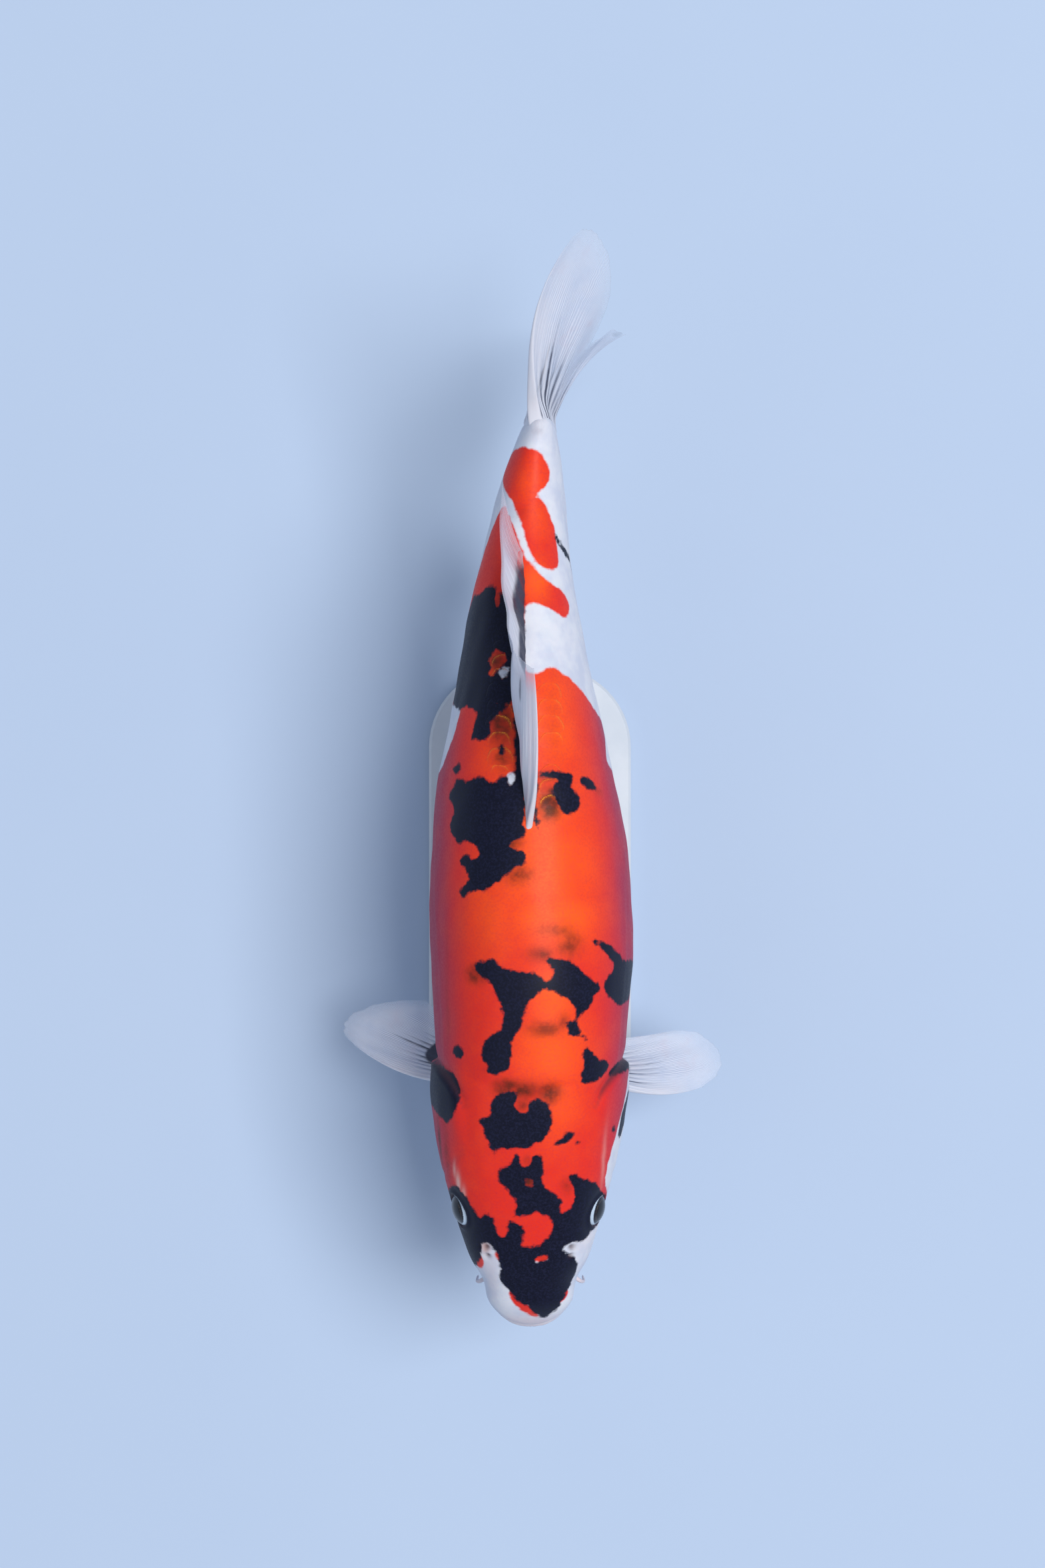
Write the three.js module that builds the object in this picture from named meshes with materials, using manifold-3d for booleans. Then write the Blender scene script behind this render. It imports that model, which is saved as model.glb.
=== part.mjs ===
// A koi carp, life size, swimming level above a plain display stand.
// Millimetres, +Z up. The head points along -Y and the fish's left side faces +X.
// The origin is the middle of the stand's underside.
// Every place on the fish is a share of the body length: [side, station, height], with the side
// measured from the straight axis, the station from the snout and the height from the axis.

import * as THREE from "three";
import { mergeVertices } from "three/addons/utils/BufferGeometryUtils.js";
import Module from "manifold-3d";

const wasm = await Module();
wasm.setup();

// Driving dimensions
const bodyLength = 497; // snout to the root of the tail fin
const axisHeight = 146; // body axis above the floor
const balanceStation = 0.453; // the station that stands over the origin
const clearance = 0.3; // between pieces that meet
const headEnd = 0.262; // stations where the body is parted
const trunkEnd = 0.8;

// ---------------------------------------------------------------- the body's form

// A smooth function through a few [station, value] pairs.
function smoothThrough(pairs) {
  const stations = pairs.map((pair) => pair[0]);
  const values = pairs.map((pair) => pair[1]);
  const spline = new THREE.CubicInterpolant(stations, values, 1, [0]);
  return (station) => spline.evaluate(station)[0];
}

const body = {
  snoutRound: 0.035, // the round ends' lengths
  tailRound: 0.012,
  halfWidth: smoothThrough([
    [0, 0.044], [0.03, 0.0475], [0.052, 0.0518], [0.075, 0.0645], [0.1, 0.0733], [0.14, 0.0855],
    [0.2, 0.1005], [0.25, 0.1068], [0.3, 0.1053], [0.36, 0.108], [0.44, 0.112], [0.5, 0.1097],
    [0.6, 0.0965], [0.7, 0.0755], [0.8, 0.0565], [0.9, 0.038], [0.95, 0.028], [0.975, 0.021],
    [1, 0.0135],
  ]),
  back: smoothThrough([
    [0, 0.014], [0.03, 0.033], [0.06, 0.05], [0.1, 0.069], [0.16, 0.093], [0.24, 0.12],
    [0.32, 0.139], [0.4, 0.1495], [0.46, 0.1515], [0.54, 0.1475], [0.64, 0.132], [0.74, 0.107],
    [0.83, 0.08], [0.92, 0.0645], [1, 0.068],
  ]),
  belly: smoothThrough([
    [0, -0.044], [0.03, -0.055], [0.06, -0.064], [0.1, -0.076], [0.16, -0.093], [0.24, -0.115],
    [0.32, -0.13], [0.4, -0.1385], [0.47, -0.14], [0.56, -0.1345], [0.66, -0.115],
    [0.76, -0.088], [0.85, -0.066], [0.93, -0.056], [1, -0.063],
  ]),
  widest: smoothThrough([[0, -0.014], [0.1, -0.008], [0.3, -0.012], [0.7, -0.004], [1, 0.002]]),
  upperFullness: smoothThrough([[0, 2.3], [0.15, 2.35], [0.35, 2.1], [0.7, 2], [1, 2.1]]),
  lowerFullness: smoothThrough([[0, 2.2], [0.2, 2.35], [0.5, 2.4], [0.8, 2.1], [1, 2.1]]),
  sway: smoothThrough([
    [0, 0], [0.15, -0.0025], [0.42, 0.001], [0.72, -0.007], [0.85, -0.005], [0.94, 0.003],
    [1, 0.011],
  ]),
};

// A point given in shares of the body length.
function place(side, station, height) {
  return new THREE.Vector3(
    side * bodyLength,
    (station - balanceStation) * bodyLength,
    axisHeight + height * bodyLength,
  );
}

// 1 along the body, falling to 0 on a quarter circle at each end.
function endRounding(station) {
  const toEnd = Math.min(station / body.snoutRound, (1 - station) / body.tailRound, 1);
  return Math.sqrt(Math.max(0, 1 - (1 - toEnd) ** 2));
}

// A point on the skin at an angle round from the back, towards the left side. It lies outside
// the skin by grow, in shares of the body length.
function skinPoint(station, angle, grow = 0) {
  const round = endRounding(station);
  const upper = Math.cos(angle) > 0;
  const power = 2 / (upper ? body.upperFullness(station) : body.lowerFullness(station));
  const middle = body.widest(station);
  const reach = ((upper ? body.back(station) - middle : middle - body.belly(station)) + grow) * round;
  const width = (body.halfWidth(station) + grow) * round;
  const across = Math.sign(Math.sin(angle)) * Math.abs(Math.sin(angle)) ** power;
  const up = Math.sign(Math.cos(angle)) * Math.abs(Math.cos(angle)) ** power;
  const along = station + (station - 0.5) * 2 * grow;
  return place(body.sway(station) + width * across, along, middle + reach * up);
}

// ---------------------------------------------------------------- solids

// Moves each point of a geometry to where shape puts its (u, v), or its own place.
function reshape(geometry, shape) {
  const points = geometry.getAttribute("position");
  const uv = geometry.getAttribute("uv");
  for (let i = 0; i < points.count; i++) {
    const own = new THREE.Vector3().fromBufferAttribute(points, i);
    points.setXYZ(i, ...shape(uv.getX(i), uv.getY(i), own).toArray());
  }
  return geometry;
}

// A closed geometry as a solid that can be cut and joined.
function solidOf(geometry) {
  const bare = geometry.clone();
  bare.deleteAttribute("normal");
  bare.deleteAttribute("uv");
  const merged = mergeVertices(bare, 1e-3);
  const triangles = new Uint32Array(merged.index.array);
  const build = () =>
    new wasm.Manifold(
      new wasm.Mesh({
        numProp: 3,
        vertProperties: merged.getAttribute("position").array,
        triVerts: triangles,
      }),
    );
  const solid = build();
  if (solid.volume() > 0) return solid;
  for (let i = 0; i < triangles.length; i += 3) triangles.subarray(i, i + 2).reverse(); // inside out
  return build();
}

// The whole body without fins, its skin moved outwards by grow millimetres.
function bodySolid(grow = 0) {
  const around = 28;
  const along = 36;
  return solidOf(
    reshape(new THREE.SphereGeometry(1, around, along), (u, v) => {
      const station = (1 - Math.cos(Math.PI * v)) / 2; // closer together at both ends
      return skinPoint(station, u * 2 * Math.PI, grow / bodyLength);
    }),
  );
}

// A round strand along a curve, closed at both ends, thick as thicknessAt says at each share.
function strandSolid(curve, thicknessAt, grow = 0, around = 10, along = 14) {
  const frames = curve.computeFrenetFrames(along, false);
  return solidOf(
    reshape(new THREE.SphereGeometry(1, around, along), (u, v) => {
      const share = Math.min(1, Math.max(0, v));
      const step = Math.round(share * along);
      const endCap = Math.sqrt(Math.max(0, 1 - Math.abs(2 * share - 1) ** 8));
      const radius = (thicknessAt(share) / 2 + grow) * endCap;
      const turn = u * 2 * Math.PI;
      return curve
        .getPointAt(share)
        .addScaledVector(frames.normals[step], radius * Math.cos(turn))
        .addScaledVector(frames.binormals[step], radius * Math.sin(turn));
    }),
  );
}

// A point of a fin: share 0 at the root and 1 at the edge, ray 0 at the front and 1 at the back.
function finPoint(fin, share, ray) {
  const root = fin.rootLine.getPoint(ray);
  const bow = fin.bowLine.getPoint(ray);
  const tip = fin.tipLine.getPoint(ray);
  return root
    .multiplyScalar((1 - share) ** 2)
    .addScaledVector(bow, 2 * share * (1 - share))
    .addScaledVector(tip, share ** 2);
}

// A fin as one thin solid: its middle surface, with half the thickness on each side.
function finSolid(fin) {
  const { shares = 5, rays = 12, rootThickness, edgeThickness } = fin;
  const step = 1e-3;
  const thin = (own) => {
    const share = own.x + 0.5;
    const ray = own.y + 0.5;
    const middle = finPoint(fin, share, ray);
    const outwards = finPoint(fin, Math.min(share + step, 1), ray).sub(
      finPoint(fin, Math.max(share - step, 0), ray),
    );
    const across = finPoint(fin, share, Math.min(ray + step, 1)).sub(
      finPoint(fin, share, Math.max(ray - step, 0)),
    );
    const normal = outwards.cross(across).normalize();
    const thickness = edgeThickness + (rootThickness - edgeThickness) * (1 - share) ** 2.5;
    return middle.addScaledVector(normal, own.z * thickness);
  };
  return solidOf(reshape(new THREE.BoxGeometry(1, 1, 1, shares, rays, 1), (u, v, own) => thin(own)));
}

// A smooth line through places on the fish. Side -1 mirrors it.
function lineThrough(places, side = 1) {
  return new THREE.CatmullRomCurve3(places.map(([x, y, z]) => place(side * x, y, z)));
}

// ---------------------------------------------------------------- the pieces

const koi = new THREE.Group();

const materials = {
  red: new THREE.MeshStandardMaterial({ color: 0xe2482a, roughness: 0.35, metalness: 0 }),
  head: new THREE.MeshStandardMaterial({ color: 0xc93628, roughness: 0.3, metalness: 0 }),
  white: new THREE.MeshStandardMaterial({ color: 0xe9e8ee, roughness: 0.35, metalness: 0 }),
  fin: new THREE.MeshStandardMaterial({ color: 0xdfe3ee, roughness: 0.4, metalness: 0 }),
  eye: new THREE.MeshStandardMaterial({ color: 0x14161d, roughness: 0.08, metalness: 0 }),
  lacquer: new THREE.MeshStandardMaterial({ color: 0xe3e2de, roughness: 0.4, metalness: 0 }),
  steel: new THREE.MeshStandardMaterial({ color: 0xa7a9ad, roughness: 0.3, metalness: 1 }),
};

// Adds a solid to the model as one named mesh, without crumbs that a cut left.
function addPiece(name, solid, material) {
  const [largest] = solid.decompose().sort((one, other) => other.volume() - one.volume());
  const { vertProperties, triVerts, numProp } = largest.simplify(0.05).getMesh();
  const points = new THREE.BufferAttribute(vertProperties.slice(), numProp);
  const geometry = new THREE.BufferGeometry().setAttribute("position", points);
  geometry.setIndex(new THREE.BufferAttribute(triVerts.slice(), 1));
  geometry.computeVertexNormals();
  const mesh = new THREE.Mesh(geometry, material);
  mesh.name = name;
  koi.add(mesh);
}

const sides = { left: 1, right: -1 };

// The part of a solid between two stations.
function between(solid, from, to) {
  const start = place(0, from, 0).y + clearance / 2;
  const end = place(0, to, 0).y - clearance / 2;
  return solid.trimByPlane([0, 1, 0], start).trimByPlane([0, -1, 0], -end);
}

// Eyes: balls set in the head so that only the front of each stands out.
const eye = { side: 0.066, station: 0.135, height: 0.03, radius: 9.4 };

function eyeSolid(side, grow = 0) {
  const centre = place(side * eye.side + body.sway(eye.station), eye.station, eye.height);
  const ball = new THREE.SphereGeometry(eye.radius + grow, 14, 9);
  return solidOf(ball.translate(...centre.toArray()));
}

// Gill covers: curved plates over the back of the head, a little proud of it.
const gillCover = {
  upperAngle: THREE.MathUtils.degToRad(40),
  lowerAngle: THREE.MathUtils.degToRad(150),
  proud: 1.2,
  thickness: 4.2,
};

function gillCoverSolid(side, grow = 0) {
  const spare = grow / bodyLength;
  const shape = (u, v, own) => {
    const down = own.y + 0.5;
    const bulge = Math.sin(Math.PI * down);
    const front = THREE.MathUtils.lerp(0.205, 0.18, down) - 0.028 * bulge - spare;
    const rear = THREE.MathUtils.lerp(0.25, 0.225, down) + 0.053 * bulge ** 0.6 + spare;
    const station = THREE.MathUtils.lerp(front, rear, own.x + 0.5);
    const spread = spare / 0.1; // the same clearance as an angle
    const angle = THREE.MathUtils.lerp(
      gillCover.upperAngle - spread,
      gillCover.lowerAngle + spread,
      down,
    );
    const outside = (gillCover.proud + grow) / bodyLength;
    const inside = outside - (gillCover.thickness + 2 * grow) / bodyLength;
    return skinPoint(station, side * angle, own.z > 0 ? outside : inside);
  };
  return solidOf(reshape(new THREE.BoxGeometry(1, 1, 1, 6, 9, 1), shape));
}

// Lips: two soft rolls that meet at the corners of the mouth.
const lips = {
  upper: {
    line: [[0.0455, 0.05, -0.044], [0.0385, 0.022, -0.034], [0.021, 0.007, -0.027],
      [0, 0.004, -0.0245]],
    middle: 8.4,
    corner: 4.6,
  },
  lower: {
    line: [[0.041, 0.05, -0.0555], [0.034, 0.029, -0.05], [0.019, 0.0165, -0.0465],
      [0, 0.013, -0.0455]],
    middle: 7,
    corner: 4,
  },
};

function lipSolid(lip, grow = 0) {
  const mirrored = lip.line.slice(0, -1).map(([x, y, z]) => [-x, y, z]);
  const curve = lineThrough([...lip.line, ...mirrored.reverse()]);
  const thickness = (share) => lip.corner + (lip.middle - lip.corner) * Math.sin(Math.PI * share);
  return strandSolid(curve, thickness, grow, 8, 18);
}

// Barbels: a short pair on the upper lip and a longer pair at the corners of the mouth.
const barbels = {
  front: {
    line: [[0.036, 0.031, -0.031], [0.043, 0.023, -0.038], [0.0455, 0.02, -0.05],
      [0.0445, 0.022, -0.062]],
    root: 2,
  },
  rear: {
    line: [[0.042, 0.052, -0.044], [0.054, 0.041, -0.053], [0.0595, 0.037, -0.068],
      [0.059, 0.04, -0.088]],
    root: 3,
  },
};

function barbelSolid(barbel, side) {
  const thickness = (share) => THREE.MathUtils.lerp(barbel.root, 1, share);
  return strandSolid(lineThrough(barbel.line, side), thickness, 0, 6, 8);
}

// Fins: the root line lies just under the skin, and each ray bends from it over the bow line to
// the tip line. A paired fin is given for the side that its side values point to.
const fins = {
  dorsal_fin: {
    root: [[-0.003, 0.538, 0.1395], [-0.004, 0.642, 0.123], [-0.006, 0.737, 0.099],
      [-0.005, 0.832, 0.071]],
    bow: [[0.009, 0.622, 0.197], [-0.019, 0.652, 0.18], [-0.019, 0.715, 0.157], [-0.022, 0.768, 0.134],
      [-0.026, 0.818, 0.113], [-0.024, 0.873, 0.09]],
    tip: [[0.004, 0.711, 0.236], [-0.013, 0.727, 0.212], [-0.023, 0.745, 0.185], [-0.027, 0.78, 0.163],
      [-0.03, 0.835, 0.138], [-0.032, 0.912, 0.108]],
    rootThickness: 3.6,
    edgeThickness: 1,
    rays: 15,
  },
  tail_fin: {
    root: [[0.005, 0.985, 0.058], [0.009, 0.985, 0.02], [0.012, 0.985, -0.016],
      [0.016, 0.985, -0.053]],
    bow: [[-0.021, 1.092, 0.127], [0.012, 1.08, 0.086], [0.03, 1.055, 0.04], [0.034, 1.04, -0.004],
      [0.038, 1.052, -0.044], [0.042, 1.07, -0.086], [0.046, 1.083, -0.128]],
    tip: [[0.046, 1.165, 0.165], [0.064, 1.173, 0.153], [0.079, 1.156, 0.134], [0.084, 1.112, 0.073], [0.063, 1.079, -0.008],
      [0.076, 1.095, -0.07], [0.096, 1.113, -0.13], [0.112, 1.117, -0.181]],
    rootThickness: 10,
    edgeThickness: 1,
    shares: 7,
    rays: 12,
  },
  anal_fin: {
    root: [[-0.006, 0.762, -0.081], [-0.006, 0.798, -0.073], [-0.005, 0.834, -0.064]],
    bow: [[-0.003, 0.788, -0.142], [0, 0.83, -0.118], [0.002, 0.87, -0.088]],
    tip: [[0.001, 0.838, -0.19], [0.006, 0.868, -0.166], [0.008, 0.89, -0.136], [0.008, 0.906, -0.103]],
    rootThickness: 3.4,
    edgeThickness: 1,
    rays: 9,
  },
  pectoral_fin_left: {
    root: [[0.084, 0.26, -0.066], [0.074, 0.28, -0.083], [0.058, 0.3, -0.099]],
    bow: [[0.148, 0.23, -0.105], [0.142, 0.256, -0.122], [0.118, 0.286, -0.13],
      [0.094, 0.302, -0.121]],
    tip: [[0.204, 0.248, -0.148], [0.222, 0.281, -0.163], [0.2, 0.307, -0.16], [0.168, 0.3115, -0.149],
      [0.134, 0.3075, -0.135]],
    rootThickness: 4.2,
    edgeThickness: 1,
    rays: 12,
  },
  pectoral_fin_right: {
    root: [[-0.084, 0.26, -0.066], [-0.074, 0.28, -0.083], [-0.058, 0.3, -0.099]],
    bow: [[-0.152, 0.256, -0.105], [-0.144, 0.282, -0.122], [-0.12, 0.308, -0.13],
      [-0.092, 0.322, -0.121]],
    tip: [[-0.207, 0.298, -0.148], [-0.2185, 0.316, -0.16], [-0.199, 0.332, -0.16], [-0.167, 0.346, -0.15],
      [-0.122, 0.35, -0.134]],
    rootThickness: 4.2,
    edgeThickness: 1,
    rays: 12,
  },
};

const pelvicFin = {
  root: [[0.046, 0.47, -0.124], [0.034, 0.485, -0.13], [0.021, 0.5, -0.134]],
  bow: [[0.07, 0.525, -0.152], [0.058, 0.54, -0.156], [0.036, 0.545, -0.152]],
  tip: [[0.086, 0.578, -0.172], [0.081, 0.602, -0.181], [0.057, 0.606, -0.178], [0.036, 0.585, -0.162]],
  rootThickness: 3.6,
  edgeThickness: 1,
  rays: 8,
};

function finFrom({ root, bow, tip, ...sizes }, side = 1) {
  return {
    rootLine: lineThrough(root, side),
    bowLine: lineThrough(bow, side),
    tipLine: lineThrough(tip, side),
    ...sizes,
  };
}

// Stand: a lacquered plate, with two steel rods that end in sockets in the belly.
const stand = {
  length: 280,
  width: 120,
  thickness: 12,
  cornerRadius: 46,
  bevel: 1.5,
  rodRadius: 4,
  rodDepth: 9, // how far a rod goes into the belly
  rodStations: { front: 0.325, rear: 0.605 },
  collarRadius: 9,
  collarHeight: 5,
};

function standBase() {
  const { length, width, cornerRadius: corner, bevel } = stand;
  const halfX = width / 2 - bevel;
  const halfY = length / 2 - bevel;
  const outline = new THREE.Shape();
  outline.absarc(halfX - corner, halfY - corner, corner, 0, Math.PI / 2);
  outline.absarc(corner - halfX, halfY - corner, corner, Math.PI / 2, Math.PI);
  outline.absarc(corner - halfX, corner - halfY, corner, Math.PI, 1.5 * Math.PI);
  outline.absarc(halfX - corner, corner - halfY, corner, 1.5 * Math.PI, 2 * Math.PI);
  const plate = new THREE.ExtrudeGeometry(outline, {
    depth: stand.thickness - 2 * bevel,
    bevelThickness: bevel,
    bevelSize: bevel,
    bevelSegments: 1,
    curveSegments: 7,
  });
  return solidOf(plate.translate(0, 0, bevel));
}

// An upright cylinder on the stand, between two heights.
function upright(station, radius, bottom, top) {
  const cylinder = new THREE.CylinderGeometry(radius, radius, top - bottom, 22).rotateX(Math.PI / 2);
  return solidOf(cylinder.translate(0, place(0, station, 0).y, (bottom + top) / 2));
}

function rodTop(station) {
  return place(0, station, body.belly(station)).z + stand.rodDepth;
}

// ---------------------------------------------------------------- assembly

const cutters = [
  ...Object.values(sides).flatMap((side) => [
    eyeSolid(side, clearance),
    gillCoverSolid(side, clearance),
  ]),
  ...Object.values(lips).map((lip) => lipSolid(lip, clearance)),
  ...Object.values(stand.rodStations).map((station) =>
    upright(station, stand.rodRadius + clearance, 0, rodTop(station) + clearance),
  ),
];
const wholeBody = cutters.reduce((solid, cutter) => solid.subtract(cutter), bodySolid());
const fleshRoom = bodySolid(clearance); // what stands on the body stays out of this

addPiece("head", between(wholeBody, -0.1, headEnd), materials.head);
addPiece("trunk", between(wholeBody, headEnd, trunkEnd), materials.red);
addPiece("tail_stalk", between(wholeBody, trunkEnd, 1.1), materials.white);

const upperLipRoom = lipSolid(lips.upper, clearance);
const lipRoom = upperLipRoom.add(lipSolid(lips.lower, clearance));
addPiece("upper_lip", lipSolid(lips.upper), materials.white);
addPiece("lower_lip", lipSolid(lips.lower).subtract(upperLipRoom), materials.white);

for (const [name, side] of Object.entries(sides)) {
  addPiece(`eye_${name}`, eyeSolid(side), materials.eye);
  const plateRoom = gillCoverSolid(side, clearance);
  addPiece(`gill_cover_${name}`, gillCoverSolid(side), materials.head);
  for (const [row, barbel] of Object.entries(barbels)) {
    const strand = barbelSolid(barbel, side).subtract(fleshRoom).subtract(lipRoom);
    addPiece(`barbel_${row}_${name}`, strand, materials.white);
  }
  const pelvic = finSolid(finFrom(pelvicFin, side)).subtract(fleshRoom);
  addPiece(`pelvic_fin_${name}`, pelvic, materials.fin);
  const pectoral = finSolid(finFrom(fins[`pectoral_fin_${name}`]));
  addPiece(`pectoral_fin_${name}`, pectoral.subtract(fleshRoom).subtract(plateRoom), materials.fin);
}

for (const name of ["dorsal_fin", "tail_fin", "anal_fin"]) {
  addPiece(name, finSolid(finFrom(fins[name])).subtract(fleshRoom), materials.fin);
}

addPiece("stand_base", standBase(), materials.lacquer);
for (const [name, station] of Object.entries(stand.rodStations)) {
  const foot = stand.thickness + clearance;
  const rod = upright(station, stand.rodRadius, foot, rodTop(station));
  addPiece(`stand_rod_${name}`, rod, materials.steel);
  const collar = upright(station, stand.collarRadius, foot, foot + stand.collarHeight);
  const hole = upright(station, stand.rodRadius + clearance, 0, 2 * axisHeight);
  addPiece(`stand_collar_${name}`, collar.subtract(hole), materials.steel);
}

export default koi;
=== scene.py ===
import math

import bpy
import numpy as np
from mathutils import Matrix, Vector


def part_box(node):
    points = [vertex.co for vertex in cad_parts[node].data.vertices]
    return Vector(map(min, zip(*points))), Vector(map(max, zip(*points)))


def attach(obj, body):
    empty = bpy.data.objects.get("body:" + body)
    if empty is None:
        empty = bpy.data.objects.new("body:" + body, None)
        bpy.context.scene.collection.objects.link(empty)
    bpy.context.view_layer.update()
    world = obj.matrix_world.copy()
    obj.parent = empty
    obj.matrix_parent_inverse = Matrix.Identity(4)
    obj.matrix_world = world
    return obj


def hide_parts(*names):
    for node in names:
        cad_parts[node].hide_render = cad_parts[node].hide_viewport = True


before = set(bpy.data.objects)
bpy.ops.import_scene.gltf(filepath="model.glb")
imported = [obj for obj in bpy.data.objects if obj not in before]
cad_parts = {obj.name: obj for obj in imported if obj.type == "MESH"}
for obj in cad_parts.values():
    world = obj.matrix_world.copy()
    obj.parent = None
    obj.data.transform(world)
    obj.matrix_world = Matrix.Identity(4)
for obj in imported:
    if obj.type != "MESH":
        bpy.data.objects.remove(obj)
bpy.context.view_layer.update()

mm = 0.001
print("koi: frame loaded")


# Curves and numbers shared by the pieces

def smoothLaw(pairs):
    # a cubic through (place, value) pairs, slack at both ends
    places, values = [np.array(column, float) for column in zip(*pairs)]
    last = len(places) - 1

    def law(place):
        place = np.clip(np.asarray(place, float), places[0], places[-1])
        after = np.clip(np.searchsorted(places, place, side="right"), 1, last)
        before = after - 1
        previous = np.where(before > 0, before - 1, after)
        following = np.where(after < last, after + 1, before)
        span = places[after] - places[before]
        pullBefore = 0.5 * span / (places[before] - places[previous])
        pullAfter = 0.5 * span / (places[following] - places[after])
        share = (place - places[before]) / span
        square, cube = share ** 2, share ** 3
        startWeight = ((1 + pullBefore) * cube - (1.5 + 2 * pullBefore) * square
                       + (pullBefore - 0.5) * share + 1)
        endWeight = (1.5 + pullAfter) * square - (1 + pullAfter) * cube + 0.5 * share
        return (values[before] * startWeight + values[after] * endWeight
                + values[previous] * pullBefore * (2 * square - cube - share)
                + values[following] * pullAfter * (cube - square))

    return law


def smoothLine(points, shares):
    # a curve through given points, read at shares from 0 to 1
    points = np.array(points, float)
    place = np.clip(np.asarray(shares, float), 0, 1) * (len(points) - 1)
    index = np.minimum(place.astype(int), len(points) - 2)
    weight = (place - index)[..., None]
    padded = np.vstack([2 * points[0] - points[1], points, 2 * points[-1] - points[-2]])
    p0, p1, p2, p3 = [padded[index + step] for step in range(4)]

    def gap(a, b):
        return np.sqrt(np.maximum(np.linalg.norm(b - a, axis=-1, keepdims=True), 1e-9))

    d0, d1, d2 = gap(p0, p1), gap(p1, p2), gap(p2, p3)
    leave = ((p1 - p0) / d0 - (p2 - p0) / (d0 + d1) + (p2 - p1) / d1) * d1
    arrive = ((p2 - p1) / d1 - (p3 - p1) / (d1 + d2) + (p3 - p2) / d2) * d1
    square, cube = weight ** 2, weight ** 3
    return (p1 + leave * weight + (-3 * p1 + 3 * p2 - 2 * leave - arrive) * square
            + (2 * p1 - 2 * p2 + leave + arrive) * cube)


def smoothStep(low, high, value):
    share = np.clip((value - low) / (high - low), 0, 1)
    return share * share * (3 - 2 * share)


def bell(value, width):
    return np.exp(-(value / width) ** 2)


def unit(vectors):
    return vectors / np.maximum(np.linalg.norm(vectors, axis=-1, keepdims=True), 1e-12)


def ripple(points, size, seed, waves=9):
    # soft noise of about -1 to 1, from a few slanted waves of one size
    dice = np.random.default_rng(seed)
    total = np.zeros(points.shape[:-1])
    for wave in range(waves):
        heading = unit(dice.normal(size=points.shape[-1]))
        length = size * dice.uniform(0.7, 1.5)
        total += np.sin(points @ heading * 2 * math.pi / length + dice.uniform(0, 2 * math.pi))
    return total / math.sqrt(waves)


def nearestOnLine(points, line):
    # distance to an open line, and the share along it of the nearest point
    best, place = np.full(len(points), np.inf), np.zeros(len(points))
    for index, (start, end) in enumerate(zip(line[:-1], line[1:])):
        run = end - start
        share = np.clip((points - start) @ run / max(run @ run, 1e-16), 0, 1)
        foot = start + share[:, None] * run
        gap = np.linalg.norm(points - foot, axis=1)
        closer = gap < best
        best[closer] = gap[closer]
        place[closer] = (index + share[closer]) / (len(line) - 1)
    return best, place


def makePiece(name, points, faces, marks=None, patch=None, replaces=()):
    # a smooth-shaded mesh object with float marks on its points, and its own unwrap when a patch is given
    mesh = bpy.data.meshes.new(name)
    points = np.asarray(points, float)
    counts = np.array([len(face) for face in faces])
    corners = np.concatenate([np.asarray(face, int) for face in faces])
    mesh.vertices.add(len(points))
    mesh.vertices.foreach_set("co", points.ravel())
    mesh.loops.add(len(corners))
    mesh.loops.foreach_set("vertex_index", corners)
    mesh.polygons.add(len(faces))
    mesh.polygons.foreach_set("loop_start", np.concatenate([[0], np.cumsum(counts)[:-1]]))
    mesh.update(calc_edges=True)
    mesh.polygons.foreach_set("use_smooth", np.ones(len(faces), bool))
    for label, values in (marks or {}).items():
        layer = mesh.attributes.new(label, "FLOAT", "POINT")
        layer.data.foreach_set("value", np.asarray(values, float).ravel())
    if patch is not None:
        layer = mesh.uv_layers.new(name="OFBake")
        layer.data.foreach_set("uv", np.asarray(patch, float)[corners].ravel())
    mesh.validate()
    piece = bpy.data.objects.new(name, mesh)
    bpy.context.scene.collection.objects.link(piece)
    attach(piece, "root")
    if replaces:
        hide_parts(*replaces)
    return piece


# The body's form, in shares of the body's length, the same as the solids have

body = {
    "snoutRound": 0.035,
    "tailRound": 0.02,
    "backPeak": 0.1515,
    "halfWidth": [
        (0, 0.044), (0.03, 0.0475), (0.052, 0.0518), (0.075, 0.0645), (0.1, 0.0733), (0.14, 0.0855),
        (0.2, 0.1005), (0.25, 0.1068), (0.3, 0.1053), (0.36, 0.108), (0.44, 0.112), (0.5, 0.1097),
        (0.6, 0.0965), (0.7, 0.0755), (0.8, 0.0565), (0.9, 0.038), (0.95, 0.028), (0.975, 0.021), (1, 0.0135),
    ],
    "back": [
        (0, 0.014), (0.03, 0.033), (0.06, 0.05), (0.1, 0.069), (0.16, 0.093), (0.24, 0.12), (0.32, 0.139),
        (0.4, 0.1495), (0.46, 0.1515), (0.54, 0.1475), (0.64, 0.132), (0.74, 0.107), (0.83, 0.08),
        (0.92, 0.0645), (1, 0.068),
    ],
    "belly": [
        (0, -0.044), (0.03, -0.055), (0.06, -0.064), (0.1, -0.076), (0.16, -0.093), (0.24, -0.115),
        (0.32, -0.13), (0.4, -0.1385), (0.47, -0.14), (0.56, -0.1345), (0.66, -0.115), (0.76, -0.088),
        (0.85, -0.066), (0.93, -0.056), (1, -0.063),
    ],
    "widest": [(0, -0.014), (0.1, -0.008), (0.3, -0.012), (0.7, -0.004), (1, 0.002)],
    "upperFullness": [(0, 2.3), (0.15, 2.35), (0.35, 2.1), (0.7, 2), (1, 2.1)],
    "lowerFullness": [(0, 2.2), (0.2, 2.35), (0.5, 2.4), (0.8, 2.1), (1, 2.1)],
    "sway": [
        (0, 0), (0.15, -0.0025), (0.42, 0.001), (0.72, -0.007), (0.85, -0.005), (0.94, 0.003), (1, 0.011),
    ],
}
bodyLaw = {name: smoothLaw(pairs) for name, pairs in body.items() if isinstance(pairs, list)}

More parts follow.
